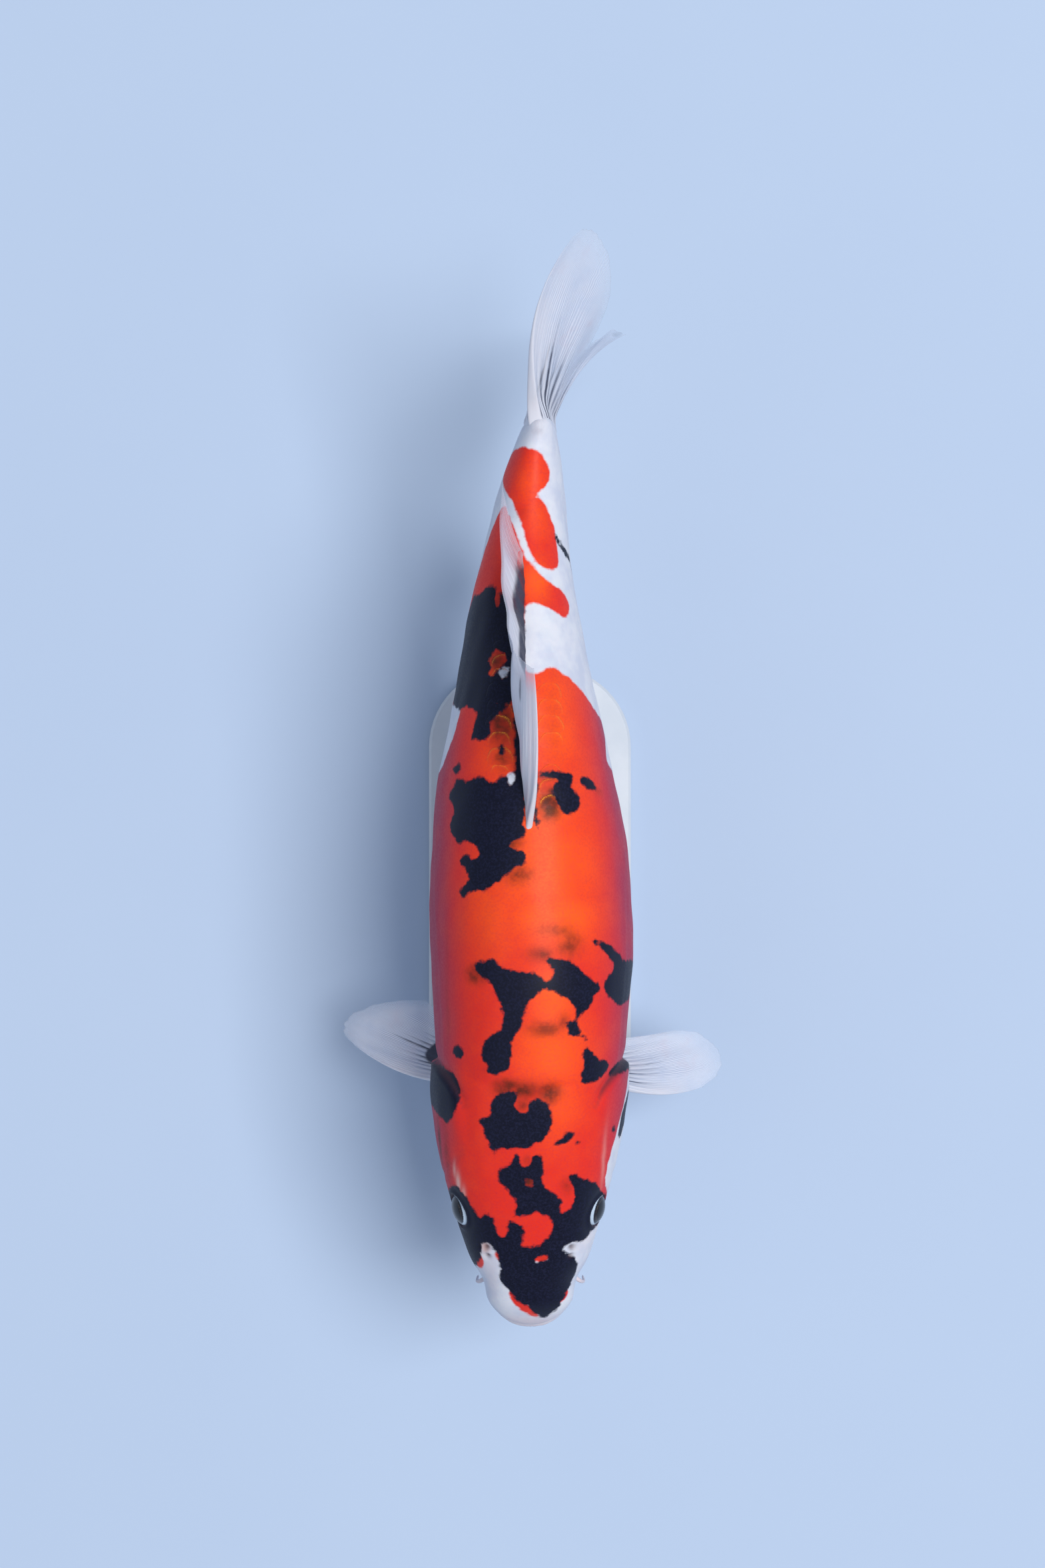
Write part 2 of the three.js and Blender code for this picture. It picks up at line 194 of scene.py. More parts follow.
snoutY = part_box("head")[0].y
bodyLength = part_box("tail_stalk")[1].y - snoutY
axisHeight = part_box("trunk")[1].z - body["backPeak"] * bodyLength


def pointAt(side, station, height):
    # a point from shares of the body's length: to the left, back from the snout, above the axis
    side, station, height = np.broadcast_arrays(side, station, height)
    return np.stack([side * bodyLength, snoutY + station * bodyLength, axisHeight + height * bodyLength], -1)


def pointsAt(points):
    points = np.array(points, float)
    return pointAt(points[..., 0], points[..., 1], points[..., 2])


def bodyPoint(station, angle):
    # the bare body at a station, angle in radians from the back towards the left side
    law = {name: curve(station) for name, curve in bodyLaw.items()}
    ends = np.clip(np.minimum(station / body["snoutRound"], (1 - station) / body["tailRound"]), 0, 1)
    rounding = np.sqrt(1 - (1 - ends) ** 2)
    sine, cosine = np.sin(angle), np.cos(angle)
    upper = cosine > 0
    power = 2 / np.where(upper, law["upperFullness"], law["lowerFullness"])
    reach = np.where(upper, law["back"] - law["widest"], law["widest"] - law["belly"]) * rounding
    side = law["sway"] + law["halfWidth"] * rounding * np.sign(sine) * np.abs(sine) ** power
    return pointAt(side, station, law["widest"] + reach * np.sign(cosine) * np.abs(cosine) ** power)


def bodyNormal(station, angle):
    step = 1e-4
    ahead, behind = np.clip(station + step, 0, 1), np.clip(station - step, 0, 1)
    along = bodyPoint(ahead, angle) - bodyPoint(behind, angle)
    across = bodyPoint(station, angle + 20 * step) - bodyPoint(station, angle - 20 * step)
    return unit(np.cross(across, along))


# Girth: how far round the skin a point lies from the back's ridge, left side positive

girthStations = np.linspace(0, 1, 241)
girthAngles = np.radians(np.linspace(0, 180, 181))
girthRings = bodyPoint(girthStations[:, None], girthAngles[None, :])
girthSteps = np.linalg.norm(np.diff(girthRings, axis=1), axis=-1)
girthTable = np.concatenate([np.zeros((len(girthStations), 1)), np.cumsum(girthSteps, axis=1)], axis=1)


def girthRow(station):
    place = np.clip(station, 0, 1) * (len(girthStations) - 1)
    index = np.minimum(place.astype(int), len(girthStations) - 2)
    weight = (place - index)[:, None]
    return girthTable[index] * (1 - weight) + girthTable[index + 1] * weight


def girthAt(station, angle):
    place = np.abs(angle) / math.pi * (len(girthAngles) - 1)
    index = np.minimum(place.astype(int), len(girthAngles) - 2)
    row = girthRow(station)
    pick = np.arange(len(station))
    low, high = row[pick, index], row[pick, index + 1]
    return np.sign(angle) * (low + (high - low) * (place - index))


def angleAt(station, girth):
    row = girthRow(station)
    pick = np.arange(len(station))
    index = np.clip((row < np.abs(girth)[:, None]).sum(1) - 1, 0, len(girthAngles) - 2)
    low, high = row[pick, index], row[pick, index + 1]
    share = (np.abs(girth) - low) / np.maximum(high - low, 1e-9)
    return np.sign(girth) * (index + share) / (len(girthAngles) - 1) * math.pi


# The camera looks straight down, and the markings are drawn in the plan that it sees

view = {
    "height": 1.5,  # metres above the body's axis
    "side": -4.4 * mm, "station": 295.6 * mm,  # to the left, and back from the snout
    "frameHeight": 855.2 * mm,  # what the camera takes in at the axis
    "sensor": 36,
}


def wrapToSkin(outline):
    # plan points (side, back from snout) in mm, to (station, girth) in mm on the skin;
    # a side past the outline of the body runs on down the flank by that much
    side, back = np.array(outline, float).T * mm
    turn = np.where(side < 0, -1, 1)
    station = back / bodyLength
    for step in range(6):
        ring = bodyPoint(station[:, None], turn[:, None] * girthAngles)
        zoom = view["height"] / (view["height"] - (ring[..., 2] - axisHeight))
        seen = turn[:, None] * (view["side"] + (ring[..., 0] - view["side"]) * zoom)
        edge = np.argmax(seen, axis=1)
        girth, height = np.zeros(len(side)), np.zeros(len(side))
        for index, (row, last, want) in enumerate(zip(seen, edge, np.abs(side))):
            angle = np.interp(want, row[:last + 1], girthAngles[:last + 1])
            girth[index] = girthAt(station[index:index + 1], np.array([angle]))[0] + max(want - row[last], 0)
            height[index] = np.interp(angle, girthAngles, ring[index, :, 2]) - axisHeight
        station = (view["station"] + (back - view["station"]) * (1 - height / view["height"])) / bodyLength
    return np.stack([station * bodyLength, turn * girth], -1) / mm


def roundOff(outline, rounds=2):
    for step in range(rounds):
        following = np.roll(outline, -1, axis=0)
        pair = np.stack([0.78 * outline + 0.22 * following, 0.22 * outline + 0.78 * following], 1)
        outline = pair.reshape(-1, 2)
    return outline


def insideBy(outline, points, reach=9.0):
    # how far inside a closed outline each point lies, in mm, negative outside
    depth = np.full(len(points), -reach)
    near = np.all((points > outline.min(0) - reach) & (points < outline.max(0) + reach), axis=1)
    spot = points[near]
    best, inside = np.full(len(spot), np.inf), np.zeros(len(spot), bool)
    for start, end in zip(outline, np.roll(outline, -1, axis=0)):
        run = end - start
        share = np.clip((spot - start) @ run / max(run @ run, 1e-12), 0, 1)
        best = np.minimum(best, ((spot - start - share[:, None] * run) ** 2).sum(1))
        crosses = (start[1] > spot[:, 1]) != (end[1] > spot[:, 1])
        if crosses.any():
            meet = start[0] + (spot[:, 1] - start[1]) * run[0] / (run[1] if run[1] else 1e-9)
            inside ^= crosses & (spot[:, 0] < meet)
    depth[near] = np.clip(np.where(inside, 1, -1) * np.sqrt(best), -reach, reach)
    return depth


# Markings in plan millimetres: (side, back from the snout), the fish's left side positive

markings = {
    "red": [
        [(-40, 47), (-33, 42), (-28, 46), (-20, 47), (-14, 44), (-6, 40), (3, 34.5), (9, 35), (12, 40),
         (18, 44), (24, 50), (31, 56), (37, 61), (42, 68), (40, 78), (41.5, 85), (44, 95), (46, 102),
         (49, 115), (51, 130), (52, 141), (58, 148), (66, 154), (70, 165), (82, 171), (90, 183),
         (87, 197), (78, 206), (80, 220), (92, 230), (96, 246), (90, 261), (78, 267), (74, 279),
         (77, 290), (68, 300), (57, 297), (50, 291), (48.5, 292), (46, 300), (43, 305.5), (41.5, 310),
         (41, 316), (40, 323), (38, 331), (36, 334), (30, 343.5), (24, 351), (18, 355.5), (12, 360),
         (7, 357.5), (2, 355), (-3, 357), (-4, 375), (-4, 400), (-4.8, 422), (-7, 430), (-10, 437),
         (-12.5, 443), (-14.5, 449), (-21, 436), (-24, 427), (-28, 412), (-31, 399), (-46, 384),
         (-56, 372), (-68, 366), (-78, 352), (-76, 336), (-82, 322), (-95, 310), (-98, 292), (-88, 278),
         (-80, 266), (-84, 250), (-96, 239), (-99, 221), (-89, 207), (-80, 195), (-86, 180), (-95, 167),
         (-90, 151), (-76, 140), (-74, 126), (-64, 113), (-58, 100), (-56, 84), (-47, 64)],
        [(41.5, 338), (43.5, 330), (46.5, 322), (49, 316), (53, 313), (60, 310), (68, 316), (71, 326),
         (64, 333), (56, 337), (52, 343), (45, 342)],
        [(-8.3, 478), (-4, 479.5), (2.7, 478), (7.4, 473.5), (10.4, 467), (10, 461), (6.6, 456),
         (2, 452.8), (5.3, 451.6), (9.2, 446.4), (13.1, 436), (15.3, 422), (15.2, 414.5), (12.5, 412.4),
         (7.9, 413), (4, 415.8), (0.8, 420.4), (-0.5, 427.5), (-3.1, 433.5), (-5.7, 440), (-8.3, 446),
         (-11, 451.8), (-15, 460), (-15.2, 464.5), (-12.2, 472.3)],
        [(-7, 428.3), (-4.4, 423), (-0.9, 417.8), (2.1, 413.8), (5.3, 409.3), (10.5, 404.8), (17, 401),
         (20.7, 394.4), (20.9, 389.2), (18.3, 386), (12.5, 390), (7.9, 392.5), (2.7, 394.4),
         (-0.9, 393), (-1.5, 386.6), (-0.1, 382), (-1.9, 381), (-5, 388), (-6, 400), (-8, 415),
         (-9, 425)],
        [(-12, 19), (-10, 13), (-5, 8.5), (1, 5.3), (5, 5), (3, 9), (-4, 13.5), (-8, 19.5)],
        [(15, 12), (18, 14), (21, 19), (19, 20), (16, 16)],
        [(-20, 39), (-16, 35), (-14, 38), (-17, 42)],
        [(-31, 36), (-27, 31), (-25, 34), (-28, 40)],
    ],
    "white": [
        [(-38, 337), (-40, 330), (-43, 320), (-46, 312), (-48, 305), (-53, 302), (-61, 304), (-72, 299),
         (-84, 303), (-100, 312), (-102, 330), (-86, 345), (-74, 336), (-66, 339), (-56, 333),
         (-46, 339)],
        # the two small spots below are painted highlights on the mirror scales
        [(-12.5, 300), (-9.5, 302), (-8.2, 298), (-10.3, 294.5), (-12.5, 297)],
        [(-18, 356), (-14, 359.5), (-10.5, 359), (-11.5, 355.5), (-15.5, 353.5)],
    ],
    "blackAndShade": [
        [(-19, 41), (-16, 34), (-16.5, 28), (-15, 22), (-11, 19.5), (-9.5, 16), (-6, 13), (-1, 10.5),
         (2, 7), (5, 5), (8, 4.5), (12, 7), (16, 12), (19, 18), (22, 23), (24.5, 29), (25.5, 35),
         (22, 38), (17, 41), (19, 44), (24, 46), (29, 46), (33, 52), (36, 55), (41, 60), (43, 66),
         (41, 71), (39, 73), (36, 78), (33, 79), (28, 80), (25, 83), (21, 82), (21, 78), (24, 73),
         (23, 66), (19, 62), (16, 62), (17, 68), (15, 71.5), (11, 73), (8, 75), (6, 79), (7, 84),
         (7.5, 88), (6, 92), (3, 94), (0, 93), (-1, 89.5), (-4, 87), (-6, 89), (-6, 93.5), (-9, 94),
         (-10, 88), (-16, 86), (-18.5, 80), (-14, 76), (-11, 72), (-8, 69), (-8, 60), (-11, 57),
         (-14, 52), (-15, 49), (-18, 49.5), (-19, 53), (-21, 60), (-25, 61), (-28, 58.5), (-30, 62),
         (-33, 67), (-36, 72), (-41, 77), (-45, 74), (-44, 62), (-38, 50), (-32, 36), (-29, 31),
         (-27, 36), (-27, 45), (-23, 45.5)],
        [(-28.5, 112), (-24, 113.5), (-22, 116), (-21, 122), (-19.5, 125), (-16, 127), (-12, 128),
         (-8, 127.5), (-6.5, 123.5), (-9, 120), (-5, 116), (-2, 117), (-3, 123), (1, 125), (5, 123.5),
         (9, 121.5), (10, 118), (12, 113), (11, 109), (9, 104), (6, 100.5), (2, 99.5), (-1, 97),
         (-6, 97), (-12, 96.5), (-17, 97.5), (-19, 93.5), (-22.5, 98), (-24, 103), (-25.5, 107.5)],
        [(12.5, 99), (17, 103), (20, 106), (24, 105.5), (22.5, 101.5), (17, 99.5)],
        [(25, 99.5), (26.5, 99), (27, 100.5), (25.5, 101)],
        [(44, 105.5), (46, 105.5), (46, 109), (44.5, 109)],
        # painted shade: the dark slit along the rear rim of the fish's left gill cover
        [(43, 137), (47, 137.5), (52, 141), (53, 133), (50.5, 122), (49, 112), (47.5, 103), (49, 103),
         (51, 112), (53, 124), (56, 138), (54, 146), (47, 143)],
        [(-50, 142), (-45, 139), (-41, 135), (-39, 129), (-38.5, 122), (-40.5, 116), (-44.5, 110.5),
         (-48, 113), (-51, 118), (-58, 122), (-60, 135), (-56, 145)],
        [(-43, 150), (-41, 152.5), (-37.5, 152), (-36.5, 148.5), (-39, 145.5), (-42, 147)],
        [(-29.5, 196), (-29, 198.5), (-25, 199), (-22, 200.5), (-18.5, 199), (-15, 195.5), (-11, 193.5),
         (-5, 193.5), (0, 193), (4, 191.5), (7, 189), (8, 187), (8, 185), (6, 183), (4, 181.5),
         (0, 178), (-2, 175), (-4, 170), (-4.5, 165), (-7, 161), (-10, 157), (-10.5, 152), (-11, 147),
         (-12, 141), (-15, 138), (-19, 136.5), (-23, 138), (-23, 142), (-26, 144), (-27, 148),
         (-26, 153), (-22, 158), (-18, 161), (-15, 163), (-14.5, 166), (-15, 170), (-16, 175),
         (-18, 179), (-19.5, 184), (-22, 188), (-26, 190.5), (-29, 193)],
        [(8, 187), (11, 190), (13, 193), (13.5, 195), (10, 196.5), (8, 200), (12, 201), (17, 200),
         (22, 198), (26, 197), (28, 193.5), (32, 190.5), (36, 187), (38, 184), (36.5, 181.5),
         (33.5, 180), (33, 175), (30, 172), (27.5, 170), (26, 167), (26, 162.5), (28, 159.5),
         (31, 158.5), (31, 155.5), (27, 158), (23, 158), (20, 160), (19, 164), (21, 166.5), (24, 166),
         (25, 169), (24.5, 174), (21, 177), (17, 180), (14, 182.5), (9, 183)],
        [(33, 211), (38, 210), (44, 207), (48, 203), (50, 199), (57, 200), (62, 192), (58, 184),
         (53, 178), (51, 176), (47, 175), (44, 178), (41, 181), (40, 185), (41, 190), (45, 193),
         (45, 197), (42, 202), (38, 206)],
        [(29, 150), (31, 152.5), (33, 150), (35, 148), (38, 145), (42, 145), (43, 142), (41, 138),
         (38, 135), (34, 132), (30, 132.5), (28, 134), (27.5, 138), (30, 142), (29, 146)],
        [(-11, 300), (-15, 300), (-18, 298.5), (-22, 295), (-24, 299), (-27, 299.5), (-31, 299),
         (-33, 297), (-36, 297), (-38, 298.5), (-41, 297), (-42, 294), (-45, 289), (-42, 285),
         (-42, 280), (-44, 275), (-44, 270), (-42, 267), (-40, 263), (-37, 264.5), (-34, 264),
         (-30, 262), (-28, 259), (-28, 256.5), (-31, 254), (-33, 256), (-36, 257), (-39, 255),
         (-39, 252), (-36, 250), (-34, 247), (-33.5, 243), (-36, 240.5), (-38.5, 237.5), (-38, 234),
         (-35.5, 233.5), (-33, 236.5), (-29, 238.5), (-26, 237.5), (-22, 239), (-19, 241.5),
         (-15, 244.5), (-11, 247), (-8, 250), (-4, 251), (-2.5, 254), (-3, 258), (-6, 260.5),
         (-10, 262), (-7, 265), (-2, 269), (-4, 273), (-3, 281), (-3, 303), (-5, 330), (-5, 345),
         (-9, 342), (-9, 320), (-8, 303)],
        [(-43, 303), (-41.5, 306), (-38.5, 307.5), (-38, 303.5), (-40, 300.5)],
        [(-18, 316), (-14.5, 317), (-13.5, 313), (-16, 311)],
        [(-19, 404.5), (-24, 402), (-27, 399), (-31, 397), (-42, 384), (-52, 362), (-50, 345),
         (-42, 337), (-38.5, 336), (-37, 338), (-34, 338.5), (-31, 336), (-28, 333), (-30, 330),
         (-31, 327), (-33, 319.5), (-30, 321), (-26, 319), (-22, 322), (-22, 330), (-14, 336),
         (-5, 345), (-3, 372), (-2, 385), (-2, 395), (-4, 408), (-7, 413), (-9.5, 405), (-14, 398)],
        [(4, 302.8), (9, 302), (14, 302.2), (19, 302), (22.5, 300.6), (23.7, 297.9), (22.4, 295),
         (22, 293.6), (24.3, 292), (26.3, 287.5), (26.6, 283.5), (24, 279.8), (20, 278.6), (17, 280),
         (15.2, 284), (13.2, 288), (12.2, 292), (13.2, 295.8), (15, 297.5), (13, 299.4), (9, 299.6),
         (5, 299)],
        [(2, 305), (4, 300), (3.5, 290), (3, 280), (5, 274), (4, 270.5), (2, 274), (0, 285), (0, 300)],
        [(26.3, 299.3), (29, 300.3), (32.5, 298.5), (35.4, 295), (35.8, 292.6), (33.5, 292),
         (30, 293.6), (27, 296.6)],
        [(12.5, 433), (16, 428.5), (19, 424), (23, 415), (24.5, 409), (22.5, 413), (19, 420),
         (15, 427.5)],
    ],
    # places inside the black where the red shows
    "bare": [
        [(-5.5, 43.5), (0, 42.3), (6, 44.5), (10, 48.5), (12.7, 54), (11, 59), (4, 62), (-1, 61),
         (-5, 60), (-12, 60.5), (-13, 57.5), (-6, 56), (-3.8, 52), (-4.2, 47.5)],
        [(2.5, 36.5), (6, 38.5), (9.5, 38.3), (9, 36), (5, 35.5), (3, 34.8)],
        [(-3.2, 80), (1, 80.5), (2, 78), (0.5, 76), (-3, 76.3), (-2, 78)],
        [(-22, 366), (-18.5, 369), (-14.5, 367), (-13, 362.5), (-15.5, 360), (-18, 357.5), (-21.5, 354),
         (-23.5, 356), (-21.5, 359.5), (-23.5, 362)],
    ],
    # soft patches: (side, back, half width, half length, strength)
    "thin": [
        (-18, 393, 2.2, 5, 0.8), (-27, 374, 3, 2, 0.5), (-9, 262, 6, 2.2, 0.2), (-19, 340, 4, 2, 0.4),
        (-3, 122, 3, 4, 0.3), (-1.5, 90, 2, 4, 0.3), (20, 74, 2.5, 4, 0.25), (-12, 50, 4, 2, 0.15),
    ],
    # brown veils of faint black; those along the fish's right flank edge, at (-49.5, 100), (-46, 95) and
    # (-45, 180), are painted shade
    "veilAndShade": [
        (-3, 128.5, 9, 5, 0.92), (9, 127, 7, 5.5, 0.86), (-5, 121, 4, 4, 0.6), (-13, 130, 7, 4.5, 0.9),
        (5, 203, 7, 4, 0.75), (22, 208, 8, 7, 0.62), (13, 216, 11, 4, 0.58), (-29.5, 192, 7, 5, 0.75),
        (9, 162, 11, 4.5, 0.6), (18, 166, 4, 5, 0.5), (-12, 264, 7, 4, 0.8), (37, 291, 6, 2.5, 0.4),
        (10.2, 284.5, 6, 7.5, 1.0), (-17, 329, 6.5, 11, 0.95), (-18, 346, 8, 8, 0.8),
        (10, 299, 7, 2.5, 0.7), (-16, 338, 6, 4, 0.6), (-49.5, 100, 3, 14, 0.75),
        (-18, 363, 6, 5, 0.85), (-18, 393, 5, 7, 0.55), (-15, 314, 3, 3, 0.6),
        (-7.5, 246.5, 9, 5.5, 0.72), (-1, 79, 3, 3, 0.85), (-22, 393, 8, 5, 0.5), (0, 496, 6, 6, 0.3),
        (-2, 90, 3, 4, 0.4), (20, 76, 4, 5, 0.5), (-45, 180, 3, 40, 0.3), (-46, 95, 4, 22, 0.45),
        (7, 37, 3, 2, 0.3), (-25, 140, 4, 5, 0.3), (-3, 499, 2.5, 3, 0.9), (3, 499, 2.2, 3, 0.9),
        (0, 489, 5, 5, 0.3), (-5, 443, 4, 4, 0.4),
    ],
    "glow": [
        (12, 150, 20, 17, 0.95), (12, 178, 12, 15, 1.0), (14, 222, 26, 16, 1.0), (8, 250, 30, 26, 0.95),
        (2, 275, 26, 20, 0.8), (-18, 222, 22, 22, 0.6), (14, 330, 17, 30, 0.75),
        (-20, 310, 14, 14, 0.45), (3, 262, 9, 6, 0.5), (16, 120, 12, 20, 0.6), (-8, 215, 20, 20, 0.4),
        (-20, 358, 8, 6, 0.4), (-12, 100, 18, 20, 0.1), (20, 300, 20, 30, 0.4), (2, 462, 10, 12, 0.45),
        (3, 405, 8, 11, 0.95), (5, 441, 8, 9, 0.5),
    ],
    "blush": [
        (-41.5, 85, 1.5, 4, 0.6), (-39.5, 78, 1.9, 5, 0.9), (-36.5, 71.5, 1.7, 4, 0.7),
        (-25, 43, 3, 3.5, 0.8), (36, 61, 3, 4, 0.6), (-22, 30, 5, 12, 0.15), (0, 2, 22, 4, 0.3),
        (30, 48, 8, 6, 0.1), (40, 90, 1.6, 14, 0.35),
    ],
    # painted glints: gold reflections on the mirror scales
    "goldGlint": [
        (11.5, 287, 8, 8, 1.0), (-15, 309, 7, 6, 0.8), (-17, 331, 9, 9, 0.9), (-15, 350, 6, 5, 0.6),
        (-18, 362, 8, 6, 0.5), (14, 330, 8, 18, 0.35),
    ],
}

skinOutlines, skinPatches = {}, {}
for kind, shapes in markings.items():
    if isinstance(shapes[0], list):
        skinOutlines[kind] = [roundOff(wrapToSkin(outline)) for outline in shapes]
    else:
        spots = np.array(shapes, float)
        skinPatches[kind] = np.column_stack([wrapToSkin(spots[:, :2]), spots[:, 2:]])
paint = {
    "whiteMargin": 0.9,  # mm that white takes from the red beside it
    "thinning": 12,  # mm of black that a full thin patch takes away
}


def marksAt(station, angle):
    # what the coat shows at any place on the skin, as plain numbers for the material
    spot = np.stack([station * bodyLength, girthAt(station, angle)], -1) / mm
    depth = {kind: np.max([insideBy(outline, spot) for outline in outlines], axis=0)
             for kind, outlines in skinOutlines.items()}
    marks = {"red": np.minimum(depth["red"], -depth["white"] - paint["whiteMargin"]),
             "blackAndShade": np.minimum(depth["blackAndShade"], -np.maximum(depth["bare"], depth["white"]))}
    for kind, patches in skinPatches.items():
        total = np.zeros(len(spot))
        for back, girth, halfWidth, halfLength, strength in patches:
            away = ((spot[:, 0] - back) / halfLength) ** 2 + ((spot[:, 1] - girth) / halfWidth) ** 2
            total = np.maximum(total, strength * np.exp(-0.7 * away))
        marks[kind] = total
    marks["blackAndShade"] = marks["blackAndShade"] - paint["thinning"] * marks.pop("thin")
    marks["down"] = np.abs(spot[:, 1])
    return marks


print("koi: markings laid out")


# The skin: one surface from lips to tail root, with the forms of the head raised on it

skin = {
    "snoutRings": 30, "headRings": 186, "trunkRings": 174, "tailRings": 10, "around": 240,
    "headEnd": 0.31,
    "muscle": 0.5 * mm, "muscleSize": 0.075,  # height and length of the soft swells
    "dimple": 0.14 * mm, "dimpleSize": 0.016,
    "lateralLine": 0.4 * mm, "lineAngle": 63, "lineDrop": 29,  # degrees from the back, and how far it drops
    "nape": 0.262, "napeCrease": 0.35 * mm, "napeWidth": 2.4 * mm,
}
gillCover = {
    "upperAngle": 40, "lowerAngle": 150,
    "frontTop": 0.205, "frontFoot": 0.18, "frontBow": 0.028,
    "rearTop": 0.25, "rearFoot": 0.225, "rearBow": 0.053,
    "rise": 1.7 * mm, "drop": 2.0 * mm, "dropWidth": 6 * mm,
    "seam": 0.55 * mm, "seamWidth": 2.2 * mm, "crease": 0.4 * mm, "creaseWidth": 2.5 * mm,
}
eye = {
    "side": 0.066, "station": 0.135, "height": 0.03,
    "lookUp": 23, "lookAhead": 13,  # degrees
    "lidRadius": 9.5 * mm, "lidRise": 0.9 * mm, "lidWidth": 1.1 * mm, "sink": 4.2 * mm,
    "moat": 0.35 * mm, "moatOut": 3.4 * mm, "moatWidth": 2 * mm,  # the dip round the rim
    "reach": 30 * mm,  # past this the rim leaves the skin alone
}
lips = {
    "upper": [(0.0455, 0.05, -0.044), (0.0385, 0.022, -0.034), (0.021, 0.007, -0.027), (0, 0.004, -0.0245)],
    "upperThick": 8.8 * mm, "upperThin": 5.2 * mm,
    "lower": [(0.041, 0.05, -0.0555), (0.034, 0.029, -0.05), (0.019, 0.0165, -0.0465), (0, 0.013, -0.0455)],
    "lowerThick": 8.4 * mm, "lowerThin": 5 * mm,
    "fullness": 0.86, "roundness": 2.6, "wrinkle": 0.05,
    "slit": 3.2 * mm, "slitWidth": 1.5 * mm,
    "chinDepth": 1.3 * mm, "chinBack": 3 * mm, "chinWidth": 2.4 * mm,
    "foldBack": 0.0085, "foldUp": 0.015, "foldDepth": 1.3 * mm, "foldWidth": 1.9 * mm,
}
nostril = {
    "side": 22.5 * mm, "front": 42.6 * mm, "rear": 47.2 * mm,
    "frontRadius": 1.3 * mm, "rearRadius": 1.9 * mm, "depth": 2.6 * mm,
    "flap": 1.5 * mm, "flapWidth": 1.5 * mm,
}


def eyeCentre(turn):
    sway = float(bodyLaw["sway"](eye["station"]))
    return pointAt(sway + turn * eye["side"], eye["station"], eye["height"]).ravel()


def gazeOf(turn):
    up, ahead = math.radians(eye["lookUp"]), math.radians(eye["lookAhead"])
    return np.array([turn * math.cos(up) * math.cos(ahead), -math.cos(up) * math.sin(ahead), math.sin(up)])


def mirrored(line):
    line = pointsAt(line)
    return np.vstack([line, (line * [-1, 1, 1])[-2::-1]])


def lipRoll(points, line, thick, thin):
    # how far each point moves out for a soft roll, thickest at the middle, and its gap from that roll
    fine = smoothLine(mirrored(line), np.linspace(0, 1, 81))
    gap, share = nearestOnLine(points, fine)
    middle = np.sin(math.pi * share)
    radius = (thin + (thick - thin) * middle) / 2
    wrinkle = 1 + lips["wrinkle"] * np.sin(share * 190 + 6 * np.sin(share * 23)) * middle
    roll = lips["fullness"] * radius * np.exp(-(gap / (1.02 * radius)) ** lips["roundness"]) * wrinkle
    return roll, gap - radius, middle


def gillEdges(degrees):
    top, foot = gillCover["upperAngle"], gillCover["lowerAngle"]
    down = np.clip((degrees - top) / (foot - top), 0, 1)
    bulge = np.sin(math.pi * down)
    front = gillCover["frontTop"] + (gillCover["frontFoot"] - gillCover["frontTop"]) * down
    rear = gillCover["rearTop"] + (gillCover["rearFoot"] - gillCover["rearTop"]) * down
    return front - gillCover["frontBow"] * bulge, rear + gillCover["rearBow"] * bulge ** 0.6


def addGills(rise, hollowShade, station, degrees):
    front, rear = gillEdges(degrees)
    held = smoothStep(34, 47, degrees) * (1 - smoothStep(140, 158, degrees))
    behind = (station - rear) * bodyLength
    cover = (gillCover["rise"] * smoothStep(-34 * mm, -3 * mm, behind)
             * (1 - smoothStep(-0.8 * mm, 0.8 * mm, behind)))
    groove = (gillCover["drop"] * smoothStep(-0.8 * mm, 0.9 * mm, behind)
              * bell(np.maximum(behind, 0), gillCover["dropWidth"]))
    rise += held * (cover - groove)
    # painted shade in the groove behind the gill cover
    hollowShade += 0.9 * held * bell(behind - 0.9 * mm, 1.3 * mm)
    ahead = (station - front) * bodyLength
    rise -= held * gillCover["seam"] * bell(ahead, gillCover["seamWidth"])
    middle = (station - 0.5 * (front + rear) + 0.004) * bodyLength
    rise -= held * gillCover["crease"] * bell(middle, gillCover["creaseWidth"]) * (degrees > 95)


def addLines(rise, station, degrees):
    # the lateral line along the flank, and the crease over the nape
    lateral = skin["lineAngle"] + skin["lineDrop"] * smoothStep(0.35, 0.8, station)
    off = np.radians(degrees - lateral) * bodyLaw["halfWidth"](station) * bodyLength * 1.2
    line = smoothStep(0.285, 0.32, station) * (1 - smoothStep(0.96, 0.99, station))
    rise += skin["lateralLine"] * line * (bell(off, 1.2 * mm) - 0.8 * bell(off - 2.6 * mm, 1.3 * mm))
    bowed = skin["nape"] + 0.00075 * np.abs(degrees) + 0.004 * np.sin(degrees * 0.15)
    crease = bell((station - bowed) * bodyLength, skin["napeWidth"])
    rise -= skin["napeCrease"] * crease * (1 - smoothStep(30, 44, degrees))


